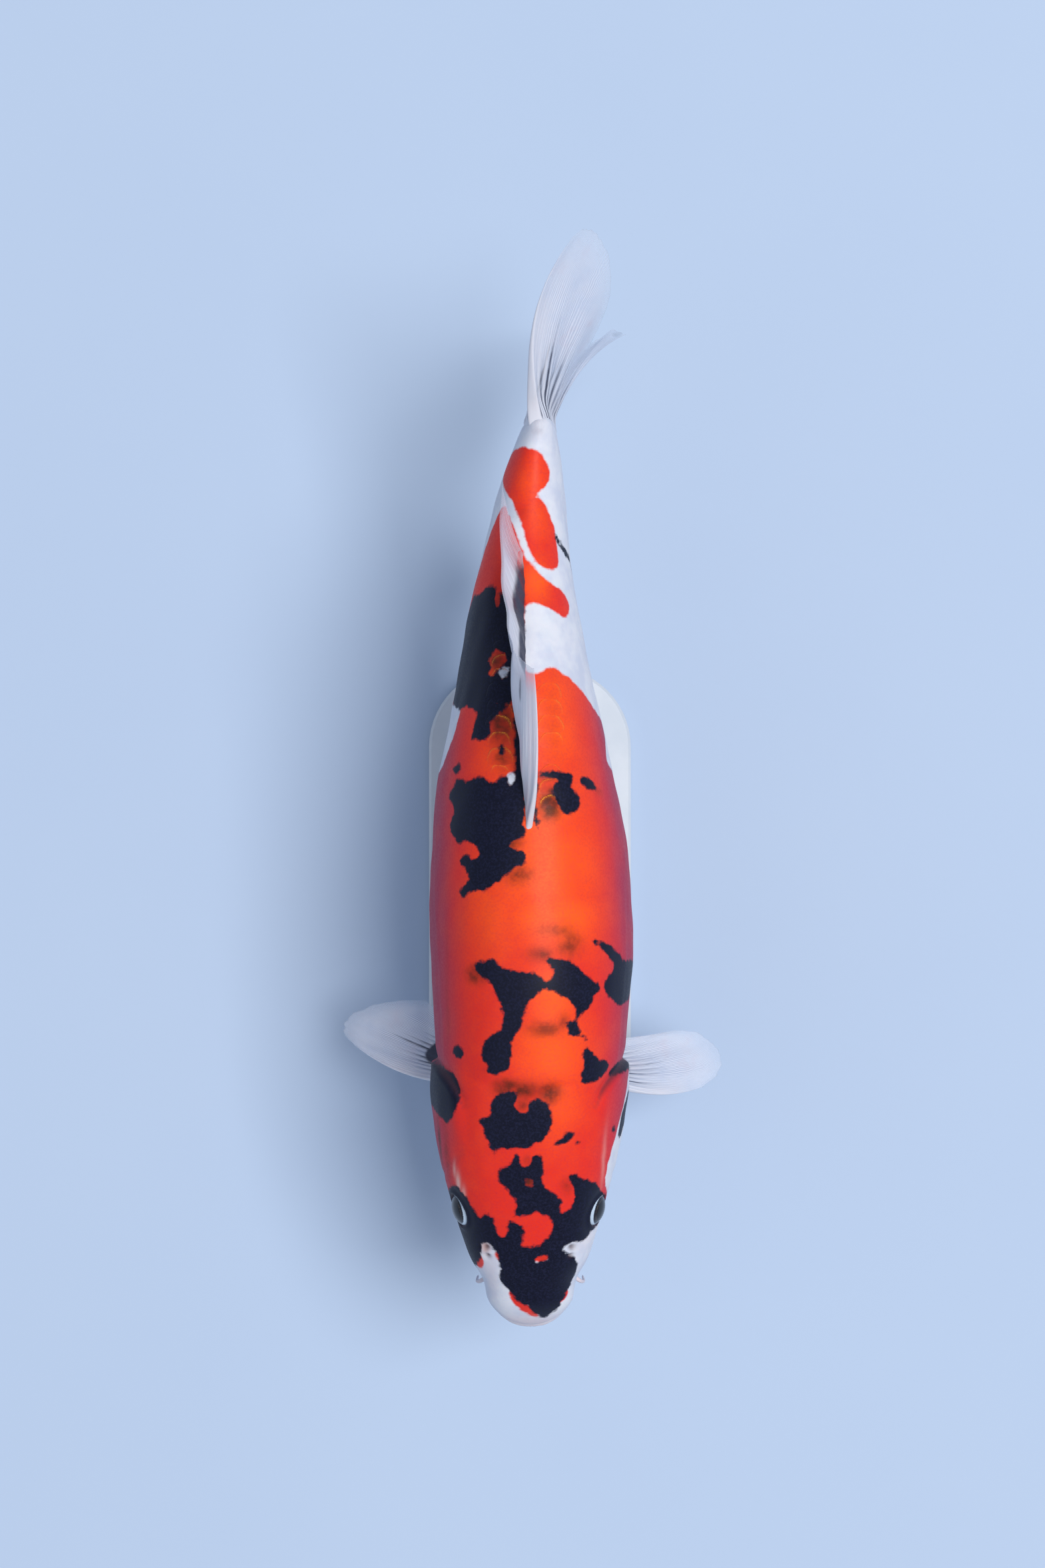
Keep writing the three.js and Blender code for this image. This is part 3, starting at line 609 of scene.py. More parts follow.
def addMouth(rise, hollowShade, snout, near):
    upper, _, _ = lipRoll(near, lips["upper"], lips["upperThick"], lips["upperThin"])
    lower, past, middle = lipRoll(near, lips["lower"], lips["lowerThick"], lips["lowerThin"])
    under = near[:, 2] < axisHeight + lips["lower"][-1][2] * bodyLength
    chin = (lips["chinDepth"] * bell(past - lips["chinBack"], lips["chinWidth"])
            * under * (0.35 + 0.65 * middle))
    between = (np.array(lips["upper"]) + np.array(lips["lower"])) / 2
    slit, _ = nearestOnLine(near, smoothLine(mirrored(between), np.linspace(0, 1, 61)))
    part = bell(slit, lips["slitWidth"])
    fold = [(x * 1.02, s + lips["foldBack"], h + lips["foldUp"]) for x, s, h in lips["upper"]]
    behindLip, _ = nearestOnLine(near, smoothLine(mirrored(fold), np.linspace(0, 1, 61)))
    rise[snout] += (np.maximum(upper, lower) - lips["slit"] * part - chin
                    - lips["foldDepth"] * bell(behindLip, lips["foldWidth"]))
    # painted shade in the mouth's slit and in the fold behind the upper lip
    hollowShade[snout] += 0.9 * bell(slit, 0.9 * mm) + 0.22 * bell(behindLip, 1.2 * mm)


def addEyeRim(rise, hollowShade, points, side):
    toEye = points - eyeCentre(side)
    gaze = gazeOf(side)
    off = np.linalg.norm(toEye - (toEye @ gaze)[:, None] * gaze, axis=1)
    facing = (toEye @ gaze > 0) & (np.linalg.norm(toEye, axis=1) < eye["reach"])
    lid = eye["lidRise"] * bell(off - eye["lidRadius"], eye["lidWidth"])
    lid -= eye["moat"] * bell(off - eye["lidRadius"] - eye["moatOut"], eye["moatWidth"])
    sink = eye["sink"] * (1 - smoothStep(eye["lidRadius"] - 1.7 * mm, eye["lidRadius"] - 0.4 * mm, off))
    rise += np.where(facing, lid - sink, 0)
    # painted shade in the crease just inside the eye's rim
    hollowShade += np.where(facing, 0.8 * bell(off - eye["lidRadius"] + 0.6 * mm, 0.6 * mm), 0)


def addNostrils(rise, hollowShade, station, degrees, points):
    back = station * bodyLength
    across = np.abs(points[:, 0] - bodyLaw["sway"](station) * bodyLength)
    above = degrees < 80
    frontGap = np.hypot(back - nostril["front"], across - nostril["side"])
    rearGap = np.hypot((back - nostril["rear"]) * 1.25, across - nostril["side"] - 0.8 * mm)
    middle = (nostril["front"] + nostril["rear"]) / 2
    flapGap = np.hypot((back - middle) * 1.5, (across - nostril["side"]) * 0.8)
    pits = bell(frontGap, nostril["frontRadius"]) + bell(rearGap, nostril["rearRadius"])
    flap = nostril["flap"] * bell(flapGap, nostril["flapWidth"])
    rise += np.where(above, flap - nostril["depth"] * pits, 0)
    # painted shade in the nostril pits
    hollowShade += np.where(above, np.minimum(1.1 * pits, 1), 0)


def reliefAt(station, angle, points):
    # height of the skin's forms above the bare body, in metres, with the painted shade of its hollows
    degrees = np.degrees(np.abs(angle))
    rise = skin["muscle"] * ripple(points, skin["muscleSize"], 3) * smoothStep(0.2, 0.4, station)
    rise += skin["dimple"] * ripple(points, skin["dimpleSize"], 4) * smoothStep(0.04, 0.2, station)
    hollowShade = np.zeros(len(points))
    addGills(rise, hollowShade, station, degrees)
    addLines(rise, station, degrees)
    snout = station < 0.12
    if snout.any():
        addMouth(rise, hollowShade, snout, points[snout])
    for side in (-1, 1):
        addEyeRim(rise, hollowShade, points, side)
    addNostrils(rise, hollowShade, station, degrees, points)
    return rise, np.clip(hollowShade, 0, 1)


def soften(field, rounds):
    # blurs a rings-by-angles table, wrapping round the body
    for step in range(rounds):
        field = (2 * field + np.roll(field, 1, axis=1) + np.roll(field, -1, axis=1)) / 4
        field[1:-1] = (2 * field[1:-1] + field[:-2] + field[2:]) / 4
    return field


def gridFaces(rows, columns, closed=True, start=0):
    # quads of a table of points, row after row
    across = columns if closed else columns - 1
    row, column = np.meshgrid(np.arange(rows - 1), np.arange(across), indexing="ij")
    following = (column + 1) % columns
    quads = np.stack([row * columns + column, row * columns + following,
                      (row + 1) * columns + following, (row + 1) * columns + column], -1)
    return (quads.reshape(-1, 4) + start).tolist()


def fanFaces(pole, first, count, flip=False):
    # triangles from one point to a closed ring of points that starts at first
    index = np.arange(count)
    after = (index + 1) % count
    low, high = (index, after) if flip else (after, index)
    return np.stack([np.full(count, pole), first + low, first + high], -1).tolist()


def skinStations():
    turn = np.linspace(0, math.pi / 2, skin["snoutRings"], endpoint=False)[1:]
    snout = body["snoutRound"] * (1 - np.cos(turn))
    head = np.linspace(body["snoutRound"], skin["headEnd"], skin["headRings"], endpoint=False)
    trunk = np.linspace(skin["headEnd"], 1 - body["tailRound"], skin["trunkRings"], endpoint=False)
    turn = np.linspace(math.pi / 2, 0, skin["tailRings"], endpoint=False)
    return np.concatenate([snout, head, trunk, 1 - body["tailRound"] * (1 - np.cos(turn))])


def makeSkin():
    rings = skinStations()
    angles = np.linspace(-math.pi, math.pi, skin["around"], endpoint=False)
    station, angle = [grid.ravel() for grid in np.meshgrid(rings, angles, indexing="ij")]
    points, normals = bodyPoint(station, angle), bodyNormal(station, angle)
    rise, hollowShade = reliefAt(station, angle, points)
    shape = (len(rings), len(angles))
    rise = soften(rise.reshape(shape), 2).ravel()
    points = points + rise[:, None] * normals
    marks = marksAt(station, angle)
    marks["hollowShade"] = hollowShade
    # the skin keeps only a tenth of the painted gold glint
    marks["goldGlint"] = 0.1 * marks["goldGlint"]
    count = len(angles)
    points = np.vstack([points, points[:count].mean(axis=0), points[-count:].mean(axis=0)])
    for label in marks:
        table = marks[label].reshape(shape)
        marks[label] = np.concatenate([marks[label], [table[0].mean(), table[-1].mean()]])
    snout, tail = len(station), len(station) + 1
    faces = gridFaces(*shape) + fanFaces(snout, 0, count) + fanFaces(tail, snout - count, count, flip=True)
    piece = makePiece("koi_skin", points, faces, marks,
                      replaces=("head", "trunk", "tail_stalk", "upper_lip", "lower_lip",
                                "gill_cover_left", "gill_cover_right"))
    unwrapSkin(piece, shape, rings)
    return piece


def unwrapSkin(piece, shape, rings):
    # the skin laid out flat: round the body across, snout to tail up
    mesh = piece.data
    rows, columns = shape
    layer = mesh.uv_layers.new(name="OFBake")
    corners = np.empty(len(mesh.loops), int)
    mesh.loops.foreach_get("vertex_index", corners)
    row, column = corners // columns, (corners % columns).astype(float)
    starts = np.empty(len(mesh.polygons), int)
    counts = np.empty(len(mesh.polygons), int)
    mesh.polygons.foreach_get("loop_start", starts)
    mesh.polygons.foreach_get("loop_total", counts)
    for span in (3, 4):
        chosen = starts[counts == span][:, None] + np.arange(span)
        local = column[chosen]
        poles = corners[chosen] >= rows * columns
        local[poles] = np.nan
        wraps = np.nanmax(local, axis=1) - np.nanmin(local, axis=1) > columns / 2
        local = np.where(wraps[:, None] & (local == 0), columns, local)
        middle = np.nanmean(local, axis=1)
        column[chosen] = np.where(poles, middle[:, None], local)
    along = np.concatenate([rings, [0]])[np.minimum(row, rows)]
    along = np.where(corners == rows * columns + 1, 1, along)
    patch = np.stack([0.02 + 0.96 * column / columns, 0.02 + 0.96 * along], -1)
    layer.data.foreach_set("uv", patch.ravel())


# Materials: small helpers, then one function for each finish

def startMaterial(name):
    material = bpy.data.materials.new(name)
    material.use_nodes = True
    tree = material.node_tree
    return material, tree, tree.nodes["Principled BSDF"]


def addNode(tree, kind, inputs=None, **settings):
    node = tree.nodes.new("ShaderNode" + kind)
    for name, value in settings.items():
        setattr(node, name, value)
    for name, value in (inputs or {}).items():
        feed(tree, node.inputs[name], value)
    return node


def feed(tree, socket, value):
    # links a node's output to a socket, or sets the socket's value
    if isinstance(value, bpy.types.NodeSocket):
        tree.links.new(value, socket)
    else:
        socket.default_value = value


def markNode(tree, label):
    return addNode(tree, "Attribute", attribute_name=label).outputs["Fac"]


def sumNode(tree, first, second, operation="ADD", third=0.0, clamp=False):
    inputs = {0: first, 1: second, 2: third}
    return addNode(tree, "Math", inputs, operation=operation, use_clamp=clamp).outputs[0]


def rangeNode(tree, value, low, high, newLow, newHigh):
    inputs = {"Value": value, "From Min": low, "From Max": high, "To Min": newLow, "To Max": newHigh}
    return addNode(tree, "MapRange", inputs, interpolation_type="SMOOTHSTEP").outputs["Result"]


def mixNode(tree, share, first, second):
    return addNode(tree, "Mix", {0: share, 6: first, 7: second}, data_type="RGBA").outputs[2]


def noiseNode(tree, scale, detail, roughness=0.55, stretch=None):
    place = addNode(tree, "TexCoord").outputs["Object"]
    if stretch:
        place = addNode(tree, "Mapping", {"Vector": place, "Scale": stretch}).outputs["Vector"]
    inputs = {"Vector": place, "Scale": scale, "Detail": detail, "Roughness": roughness}
    return addNode(tree, "TexNoise", inputs).outputs["Fac"]


def swingNode(tree, noise, size):
    # a noise that swings evenly to both sides of nothing
    return sumNode(tree, sumNode(tree, noise, 0.5, "SUBTRACT"), size, "MULTIPLY")


def stripesNode(tree, turns):
    return sumNode(tree, sumNode(tree, turns, 0.5, "COSINE"), 0.5, "MULTIPLY_ADD", 0.5)


def bumpNode(tree, height, strength, distance):
    inputs = {"Height": height, "Strength": strength, "Distance": distance}
    return addNode(tree, "Bump", inputs).outputs["Normal"]


def setShader(tree, shader, values):
    for name, value in values.items():
        feed(tree, shader.inputs[name], value)


coat = {
    # the white also serves two painted highlights on the mirror scales
    "white": (0.67, 0.685, 0.75, 1), "whiteShade": (0.56, 0.59, 0.70, 1), "blush": (0.72, 0.44, 0.40, 1),
    # crimson serves a fine mottle, and the painted shade down the flanks
    "orange": (0.97, 0.100, 0.010, 1), "red": (0.72, 0.028, 0.014, 1), "crimsonMottleAndShade": (0.36, 0.018, 0.062, 1),
    # painted glint: the gold colour on the next line
    # painted shade for creases, slits and pits: the hollow colour on the next line
    "brown": (0.085, 0.015, 0.008, 1), "goldGlint": (0.92, 0.33, 0.035, 1), "hollowShade": (0.06, 0.025, 0.035, 1),
    # the black also serves the painted shade in the gill slit
    "blackAndShade": (0.004, 0.005, 0.016, 1), "blackLight": (0.009, 0.011, 0.034, 1),
    "broad": 60, "middle": 230, "fine": 750, "grain": 2300,  # noise waves in a metre
    "waver": 4.6, "frill": 0.5, "redCalm": 0.5,  # how ragged the edges of the markings are, in mm
    "flankShadeFrom": 34, "flankShadeTo": 80,  # mm round from the ridge, where red darkens to crimson: painted shade down the flanks
    "bump": 0.16,
    "roughness": 0.5, "gloss": 0.12, "wetness": 0.05, "wetRoughness": 0.3, "softness": 0.06,
}


def coatMaterial(name):
    material, tree, shader = startMaterial(name)
    broad, middle = noiseNode(tree, coat["broad"], 2), noiseNode(tree, coat["middle"], 2)
    fine, grain = noiseNode(tree, coat["fine"], 4, 0.6), noiseNode(tree, coat["grain"], 2, 0.6)
    edge = sumNode(tree, swingNode(tree, middle, coat["waver"]), swingNode(tree, fine, coat["frill"]))
    calm = sumNode(tree, edge, coat["redCalm"], "MULTIPLY")
    redIn = rangeNode(tree, sumNode(tree, markNode(tree, "red"), calm), -1.0, 0.7, 0, 1)
    blackIn = rangeNode(tree, sumNode(tree, markNode(tree, "blackAndShade"), edge), -1.1, 0.8, 0, 1)

    shade = sumNode(tree, broad, sumNode(tree, middle, 0.4, "MULTIPLY"))
    white = mixNode(tree, rangeNode(tree, shade, 0.5, 0.95, 0, 1), coat["white"], coat["whiteShade"])
    # painted shade: the red darkens to crimson down the flanks
    flankShade = rangeNode(tree, markNode(tree, "down"), coat["flankShadeFrom"], coat["flankShadeTo"], 0, 1)
    red = mixNode(tree, flankShade, coat["red"], coat["crimsonMottleAndShade"])
    cloudy = sumNode(tree, broad, 0.5, "SUBTRACT")
    glow = sumNode(tree, cloudy, 0.5, "MULTIPLY_ADD", markNode(tree, "glow"), clamp=True)
    red = mixNode(tree, glow, red, coat["orange"])
    red = mixNode(tree, rangeNode(tree, fine, 0.35, 0.75, 0.0, 0.22), red, coat["crimsonMottleAndShade"])
    under = mixNode(tree, redIn, white, red)
    under = mixNode(tree, markNode(tree, "blush"), under, coat["blush"])
    patchy = rangeNode(tree, sumNode(tree, middle, broad), 0.75, 1.25, 0.72, 1.16)
    # brown veils of faint black, with painted shade along the fish's right flank edge
    veilAndShade = sumNode(tree, markNode(tree, "veilAndShade"), patchy, "MULTIPLY")
    under = mixNode(tree, rangeNode(tree, veilAndShade, 0.03, 0.97, 0, 0.96), under, coat["brown"])
    # painted glint: gold sparkles of reflection, strongest on the scales' rims
    sparkle = rangeNode(tree, grain, 0.42, 0.6, 0.15, 1.0)
    glint = sumNode(tree, markNode(tree, "goldGlint"), sparkle, "MULTIPLY", clamp=True)
    under = mixNode(tree, glint, under, coat["goldGlint"])
    blackAndShade = mixNode(tree, rangeNode(tree, fine, 0.4, 0.7, 0, 1), coat["blackAndShade"], coat["blackLight"])
    colour = mixNode(tree, blackIn, under, blackAndShade)
    # painted shade: the skin's creases, slits and pits darkened
    hollowShade = sumNode(tree, markNode(tree, "hollowShade"), 0.75, "MULTIPLY")

    height = sumNode(tree, sumNode(tree, grain, 0.5, "MULTIPLY"), fine)
    setShader(tree, shader, {
        "Base Color": mixNode(tree, hollowShade, colour, coat["hollowShade"]),
        "Roughness": rangeNode(tree, fine, 0.3, 0.7, coat["roughness"] - 0.06, coat["roughness"] + 0.08),
        "Normal": bumpNode(tree, height, coat["bump"], 0.3 * mm),
        "Specular IOR Level": coat["gloss"], "Coat Weight": coat["wetness"],
        "Coat Roughness": coat["wetRoughness"], "Subsurface Weight": coat["softness"],
        "Subsurface Radius": (1.0, 0.35, 0.25), "Subsurface Scale": 3 * mm,
    })
    return material


koiCoat = coatMaterial("koi_coat")
skinPiece = makeSkin()
skinPiece.data.materials.append(koiCoat)
print("koi: skin made,", len(skinPiece.data.vertices), "points")


# Mirror scales: a row on each side of the dorsal fin, each lying over the front of the next

scales = {
    "from": 0.571, "to": 0.9, "step": 1.0,  # stations, and the step in shares of a scale's half width
    "offset": [(0.57, 12.4), (0.62, 14.5), (0.65, 14.5), (0.78, 12), (0.9, 7.5)],  # mm from the ridge
    "size": [(0.57, 7.2), (0.61, 8.3), (0.7, 8.2), (0.8, 7), (0.9, 4.6)],  # half width in mm
    "slant": 16, "lift": 0.3 * mm, "sink": 1.1 * mm, "dome": 0.2 * mm, "thickness": 0.3 * mm,
    "rings": 6, "around": 26, "crowding": 1.6,  # the rings crowd towards the rim
    "raggedWide": 0.035, "raggedFine": 0.02, "width": 0.94,  # the outline, and its width to its length
    "seed": 11, "twist": 0.25, "sizes": (0.88, 1.1), "shift": 0.8 * mm,  # how far each may stray
    "dullLift": 0.07, "dullDrop": 0.1 * mm,  # scales without the painted gold glint lie flatter and lower
}


def skinSpot(station, girth):
    # points, outward normals and angle at (station, girth in metres) on the finished skin
    angle = angleAt(station, girth)
    points, normals = bodyPoint(station, angle), bodyNormal(station, angle)
    rise, _ = reliefAt(station, angle, points)
    return points + rise[:, None] * normals, normals, angle


def oneScale(station, girth, size, dice):
    # a round plate, its front edge under the skin and its rear edge standing a little proud
    turns = np.linspace(0, 2 * math.pi, scales["around"], endpoint=False)
    reach = 1 - (1 - np.linspace(0, 1, scales["rings"] + 1)[1:]) ** scales["crowding"]
    ragged = (1 + scales["raggedWide"] * np.sin(3 * turns + dice.uniform(0, 6))
              + scales["raggedFine"] * np.sin(7 * turns + dice.uniform(0, 6)))
    rear = np.concatenate([[0], np.outer(reach, ragged * np.cos(turns)).ravel()])
    side = np.concatenate([[0], np.outer(reach, ragged * np.sin(turns)).ravel()]) * scales["width"]
    out = np.concatenate([[0], np.repeat(reach, scales["around"])])
    stray = scales["twist"]
    twist = math.radians(scales["slant"]) * np.sign(girth) + dice.uniform(-stray, stray)
    size = size * dice.uniform(*scales["sizes"])
    girth = girth + dice.uniform(-1, 1) * scales["shift"]
    along = rear * math.cos(twist) - side * math.sin(twist)
    across = rear * math.sin(twist) + side * math.cos(twist)
    stations = station + along * size / bodyLength
    points, normals, angles = skinSpot(stations, girth + across * size)
    shine = float(marksAt(np.array([station]), angles[:1])["goldGlint"][0])
    lift = scales["lift"] * (scales["dullLift"] + (1 - scales["dullLift"]) * shine)
    height = scales["dome"] * (1 - out ** 2) + np.where(along > 0, lift, scales["sink"]) * along
    height -= 0.5 * lift * smoothStep(0.8, 1, out) + scales["dullDrop"] * (1 - smoothStep(0, 0.3, shine))
    top = points + normals * height[:, None]
    # the rear rim, where the painted gold glint lies
    rim = smoothStep(0.8, 0.93, out) * smoothStep(-0.7, 0.1, along)
    inside = bell(np.hypot(along - 0.2, across), 0.7)
    return top, top - normals * scales["thickness"], np.stack([stations, angles, along, across, rim, inside])


def scaleFaces(start):
    around, rings = scales["around"], scales["rings"]
    count = 1 + around * rings
    top = fanFaces(start, start + 1, around) + gridFaces(rings, around, start=start + 1)
    foot = [[corner + count for corner in face[::-1]] for face in top]
    edge = list(range(start + count - around, start + count))
    rim = [[a, b, b + count, a + count] for a, b in zip(edge, edge[1:] + edge[:1])]
    return top + foot + rim


def makeScales(name, spots):
    dice = np.random.default_rng(scales["seed"])
    points, faces, patches, reads = [], [], [], []
    for station, girth, size in spots:
        faces += scaleFaces(sum(len(sheet) for sheet in points))
        top, foot, read = oneScale(station, girth, size, dice)
        turned = float(angleAt(np.array([station]), np.array([girth]))[0]) / (2 * math.pi) + 0.5
        patch = 0.02 + 0.96 * np.array([turned, station]) + 0.0015 * read[[3, 2]].T
        points += [top, foot]
        patches += [patch, patch]
        reads += [read, read]
    stations, angles, _, _, rims, insides = np.concatenate(reads, axis=1)
    marks = marksAt(stations, angles)
    marks["veilAndShade"] = np.maximum(marks["veilAndShade"], 0.9 * marks["goldGlint"] * insides)
    # painted glint along each scale's rear rim
    marks["goldGlint"] = rims * (0.06 + 1.1 * marks["goldGlint"]).clip(0, 1)
    marks["hollowShade"] = np.zeros(len(rims))
    piece = makePiece(name, np.concatenate(points), faces, marks, np.concatenate(patches))
    piece.data.materials.append(koiCoat)


def rowSpots(turn):
    offset, size = smoothLaw(scales["offset"]), smoothLaw(scales["size"])
    spots, station = [], scales["from"]
    while station < scales["to"]:
        radius = float(size(station)) * mm
        spots.append((station, turn * float(offset(station)) * mm, radius))
        station += radius * scales["step"] / bodyLength
    return spots


makeScales("mirror_scales_left", rowSpots(1))
makeScales("mirror_scales_right", rowSpots(-1))
print("koi: scales laid")


# Fins: each spreads from its root over a bowed middle to its tip, with forked rays raised on it.
# The three lines run from the first ray to the last, in shares of the body's length.

finDefaults = {
    "rootSwell": 0, "wave": 0.6 * mm, "fold": 0.3 * mm, "tipRound": 0,  # how the root, sheet and tip bulge
    "streak": 0.5, "streakThin": 1.5, "streakReach": (0.2, 0.5), "streakLean": 1,  # dark between the rays
    "darkSpots": [],  # (share, ray, their reaches, strength)
    "flesh": 0.1, "sheer": 0.3,  # how solid the sheet is, and how clear its last ray
}
fins = {
    "dorsal": {
        "root": [(-0.003, 0.538, 0.1395), (-0.004, 0.642, 0.123), (-0.006, 0.737, 0.099),
                 (-0.005, 0.832, 0.071)],
        "bow": [(0.009, 0.622, 0.197), (-0.019, 0.652, 0.18), (-0.019, 0.715, 0.157), (-0.022, 0.768, 0.134),
                (-0.026, 0.818, 0.113), (-0.024, 0.873, 0.09)],
        "tip": [(0.004, 0.711, 0.236), (-0.013, 0.727, 0.212), (-0.023, 0.745, 0.185), (-0.027, 0.78, 0.163),
                (-0.03, 0.835, 0.138), (-0.032, 0.912, 0.108)],
        "rootThick": 3.4 * mm, "rays": 19, "wave": 0.9 * mm,
        # the last dark spot is a painted shadow: the dark gap between strands of the fin
        "darkSpots": [(0.05, 0.74, 0.4, 0.24, 1.0), (0, 0.5, 0.12, 0.2, 0.9), (0.8, 0.15, 0.1, 0.018, 0.45)],
        "streak": 0.2, "streakReach": (0.4, 0.9),
        "fold": 1.4 * mm, "flesh": 0.85, "sheer": 0.5,
        "node": "dorsal_fin",
    },
    "tail": {
        "root": [(0.005, 0.985, 0.0635), (0.009, 0.985, 0.02), (0.012, 0.985, -0.018),
                 (0.016, 0.985, -0.0585)],
        "bow": [(-0.021, 1.092, 0.127), (0.012, 1.08, 0.086), (0.03, 1.055, 0.04), (0.034, 1.04, -0.004),
                (0.038, 1.052, -0.044), (0.042, 1.07, -0.086), (0.046, 1.083, -0.128)],
        "tip": [(0.046, 1.165, 0.165), (0.064, 1.173, 0.153), (0.079, 1.156, 0.134), (0.084, 1.112, 0.073),
                (0.063, 1.079, -0.008), (0.076, 1.095, -0.07), (0.096, 1.113, -0.13), (0.112, 1.117, -0.181)],
        "rootThick": 7 * mm, "rootSwell": 8.9 * mm, "rays": 20, "wave": 0.8 * mm,
        "darkSpots": [(0.2, 0.97, 0.06, 0.02, 0.6), (0.97, 0.94, 0.05, 0.04, 0.35)],
        "streak": 0.8, "streakThin": 0.8, "streakReach": (0.6, 1.1), "streakLean": 0.8,
        "fold": 1.6 * mm, "flesh": 0.15, "sheer": 0,
        "node": "tail_fin",
    },
    "anal": {
        "root": [(-0.006, 0.762, -0.081), (-0.006, 0.798, -0.073), (-0.005, 0.834, -0.064)],
        "bow": [(-0.003, 0.788, -0.142), (0, 0.83, -0.118), (0.002, 0.87, -0.088)],
        "tip": [(0.001, 0.838, -0.19), (0.006, 0.868, -0.166), (0.008, 0.89, -0.136), (0.008, 0.906, -0.103)],
        "rootThick": 3.2 * mm, "rays": 8, "tipRound": 0.02, "streak": 0.3, "flesh": 0.2, "sheer": 0.2,
        "node": "anal_fin",
    },
    "pectoral_left": {
        "root": [(0.084, 0.26, -0.066), (0.074, 0.28, -0.083), (0.058, 0.3, -0.099)],
        "bow": [(0.148, 0.23, -0.105), (0.142, 0.256, -0.122), (0.118, 0.286, -0.13), (0.094, 0.302, -0.121)],
        "tip": [(0.204, 0.248, -0.148), (0.2185, 0.265, -0.158), (0.2175, 0.287, -0.163),
                (0.199, 0.305, -0.16), (0.168, 0.3115, -0.149), (0.134, 0.3075, -0.135)],
        "rootThick": 4 * mm, "rays": 15, "wave": 1.0 * mm, "tipRound": 0.05,
        "darkSpots": [(0.24, 0.5, 0.06, 0.2, 0.6)],
        "streak": 0.8, "streakThin": 2.2, "streakReach": (0.5, 0.85), "streakLean": 0.7,
        "fold": 0.4 * mm,
        "node": "pectoral_fin_left",
    },
    "pectoral_right": {
        "root": [(-0.084, 0.26, -0.066), (-0.074, 0.28, -0.083), (-0.058, 0.3, -0.099)],
        "bow": [(-0.152, 0.256, -0.105), (-0.144, 0.282, -0.122), (-0.12, 0.308, -0.13),
                (-0.092, 0.322, -0.121)],
        "tip": [(-0.207, 0.298, -0.148), (-0.216, 0.309, -0.156), (-0.2135, 0.3215, -0.16),
                (-0.198, 0.3318, -0.16), (-0.166, 0.3435, -0.15), (-0.122, 0.3485, -0.134)],
        "rootThick": 4 * mm, "rays": 15, "wave": 1.0 * mm, "tipRound": 0.04,
        "darkSpots": [(0.24, 0.52, 0.11, 0.24, 1.0)],
        "streak": 1.0, "streakThin": 1.3, "streakReach": (0.6, 0.9), "streakLean": 0.75,
        "fold": 0.4 * mm,
        "node": "pectoral_fin_right",
    },
    "pelvic": {
        "root": [(0.046, 0.47, -0.124), (0.034, 0.485, -0.13), (0.021, 0.5, -0.134)],
        "bow": [(0.07, 0.525, -0.152), (0.058, 0.54, -0.156), (0.036, 0.545, -0.152)],
        "tip": [(0.086, 0.578, -0.172), (0.081, 0.602, -0.181), (0.057, 0.606, -0.178),
                (0.036, 0.585, -0.162)],
        "rootThick": 3.4 * mm, "rays": 9, "tipRound": 0.03, "streak": 0.5,
    },
}
finBuild = {
    "rows": 72, "perRay": 16,  # rows from root to tip, and columns to a ray
    "underSkin": 0.12,  # how far the root is sunk, as a share of the fin
    "edgeThick": 0.55 * mm, "rayHeight": 0.3 * mm, "rayFade": 0.8,
    "forkFrom": 0.3, "forkTo": 0.55, "forkHeight": 0.8, "forkFade": 0.6,  # where each ray parts in two
    "bendWide": 0.012, "bendFine": 0.006,  # how the rays sway from side to side
    "ragged": 0.006, "rimShare": 0.02, "rimThin": 0.35,  # the torn tip, and the edge all round
    "taper": 2.5, "leadingSwell": 1.3, "tipClear": 0.65,
}


def finSheet(fin, share, ray):
    # the middle of a fin: share from root to tip, ray from its leading to its trailing edge
    root, bow, tip = [smoothLine(pointsAt(fin[name]), ray) for name in ("root", "bow", "tip")]
    share = share[..., None]
    return root * (1 - share) ** 2 + 2 * share * (1 - share) * bow + share ** 2 * tip


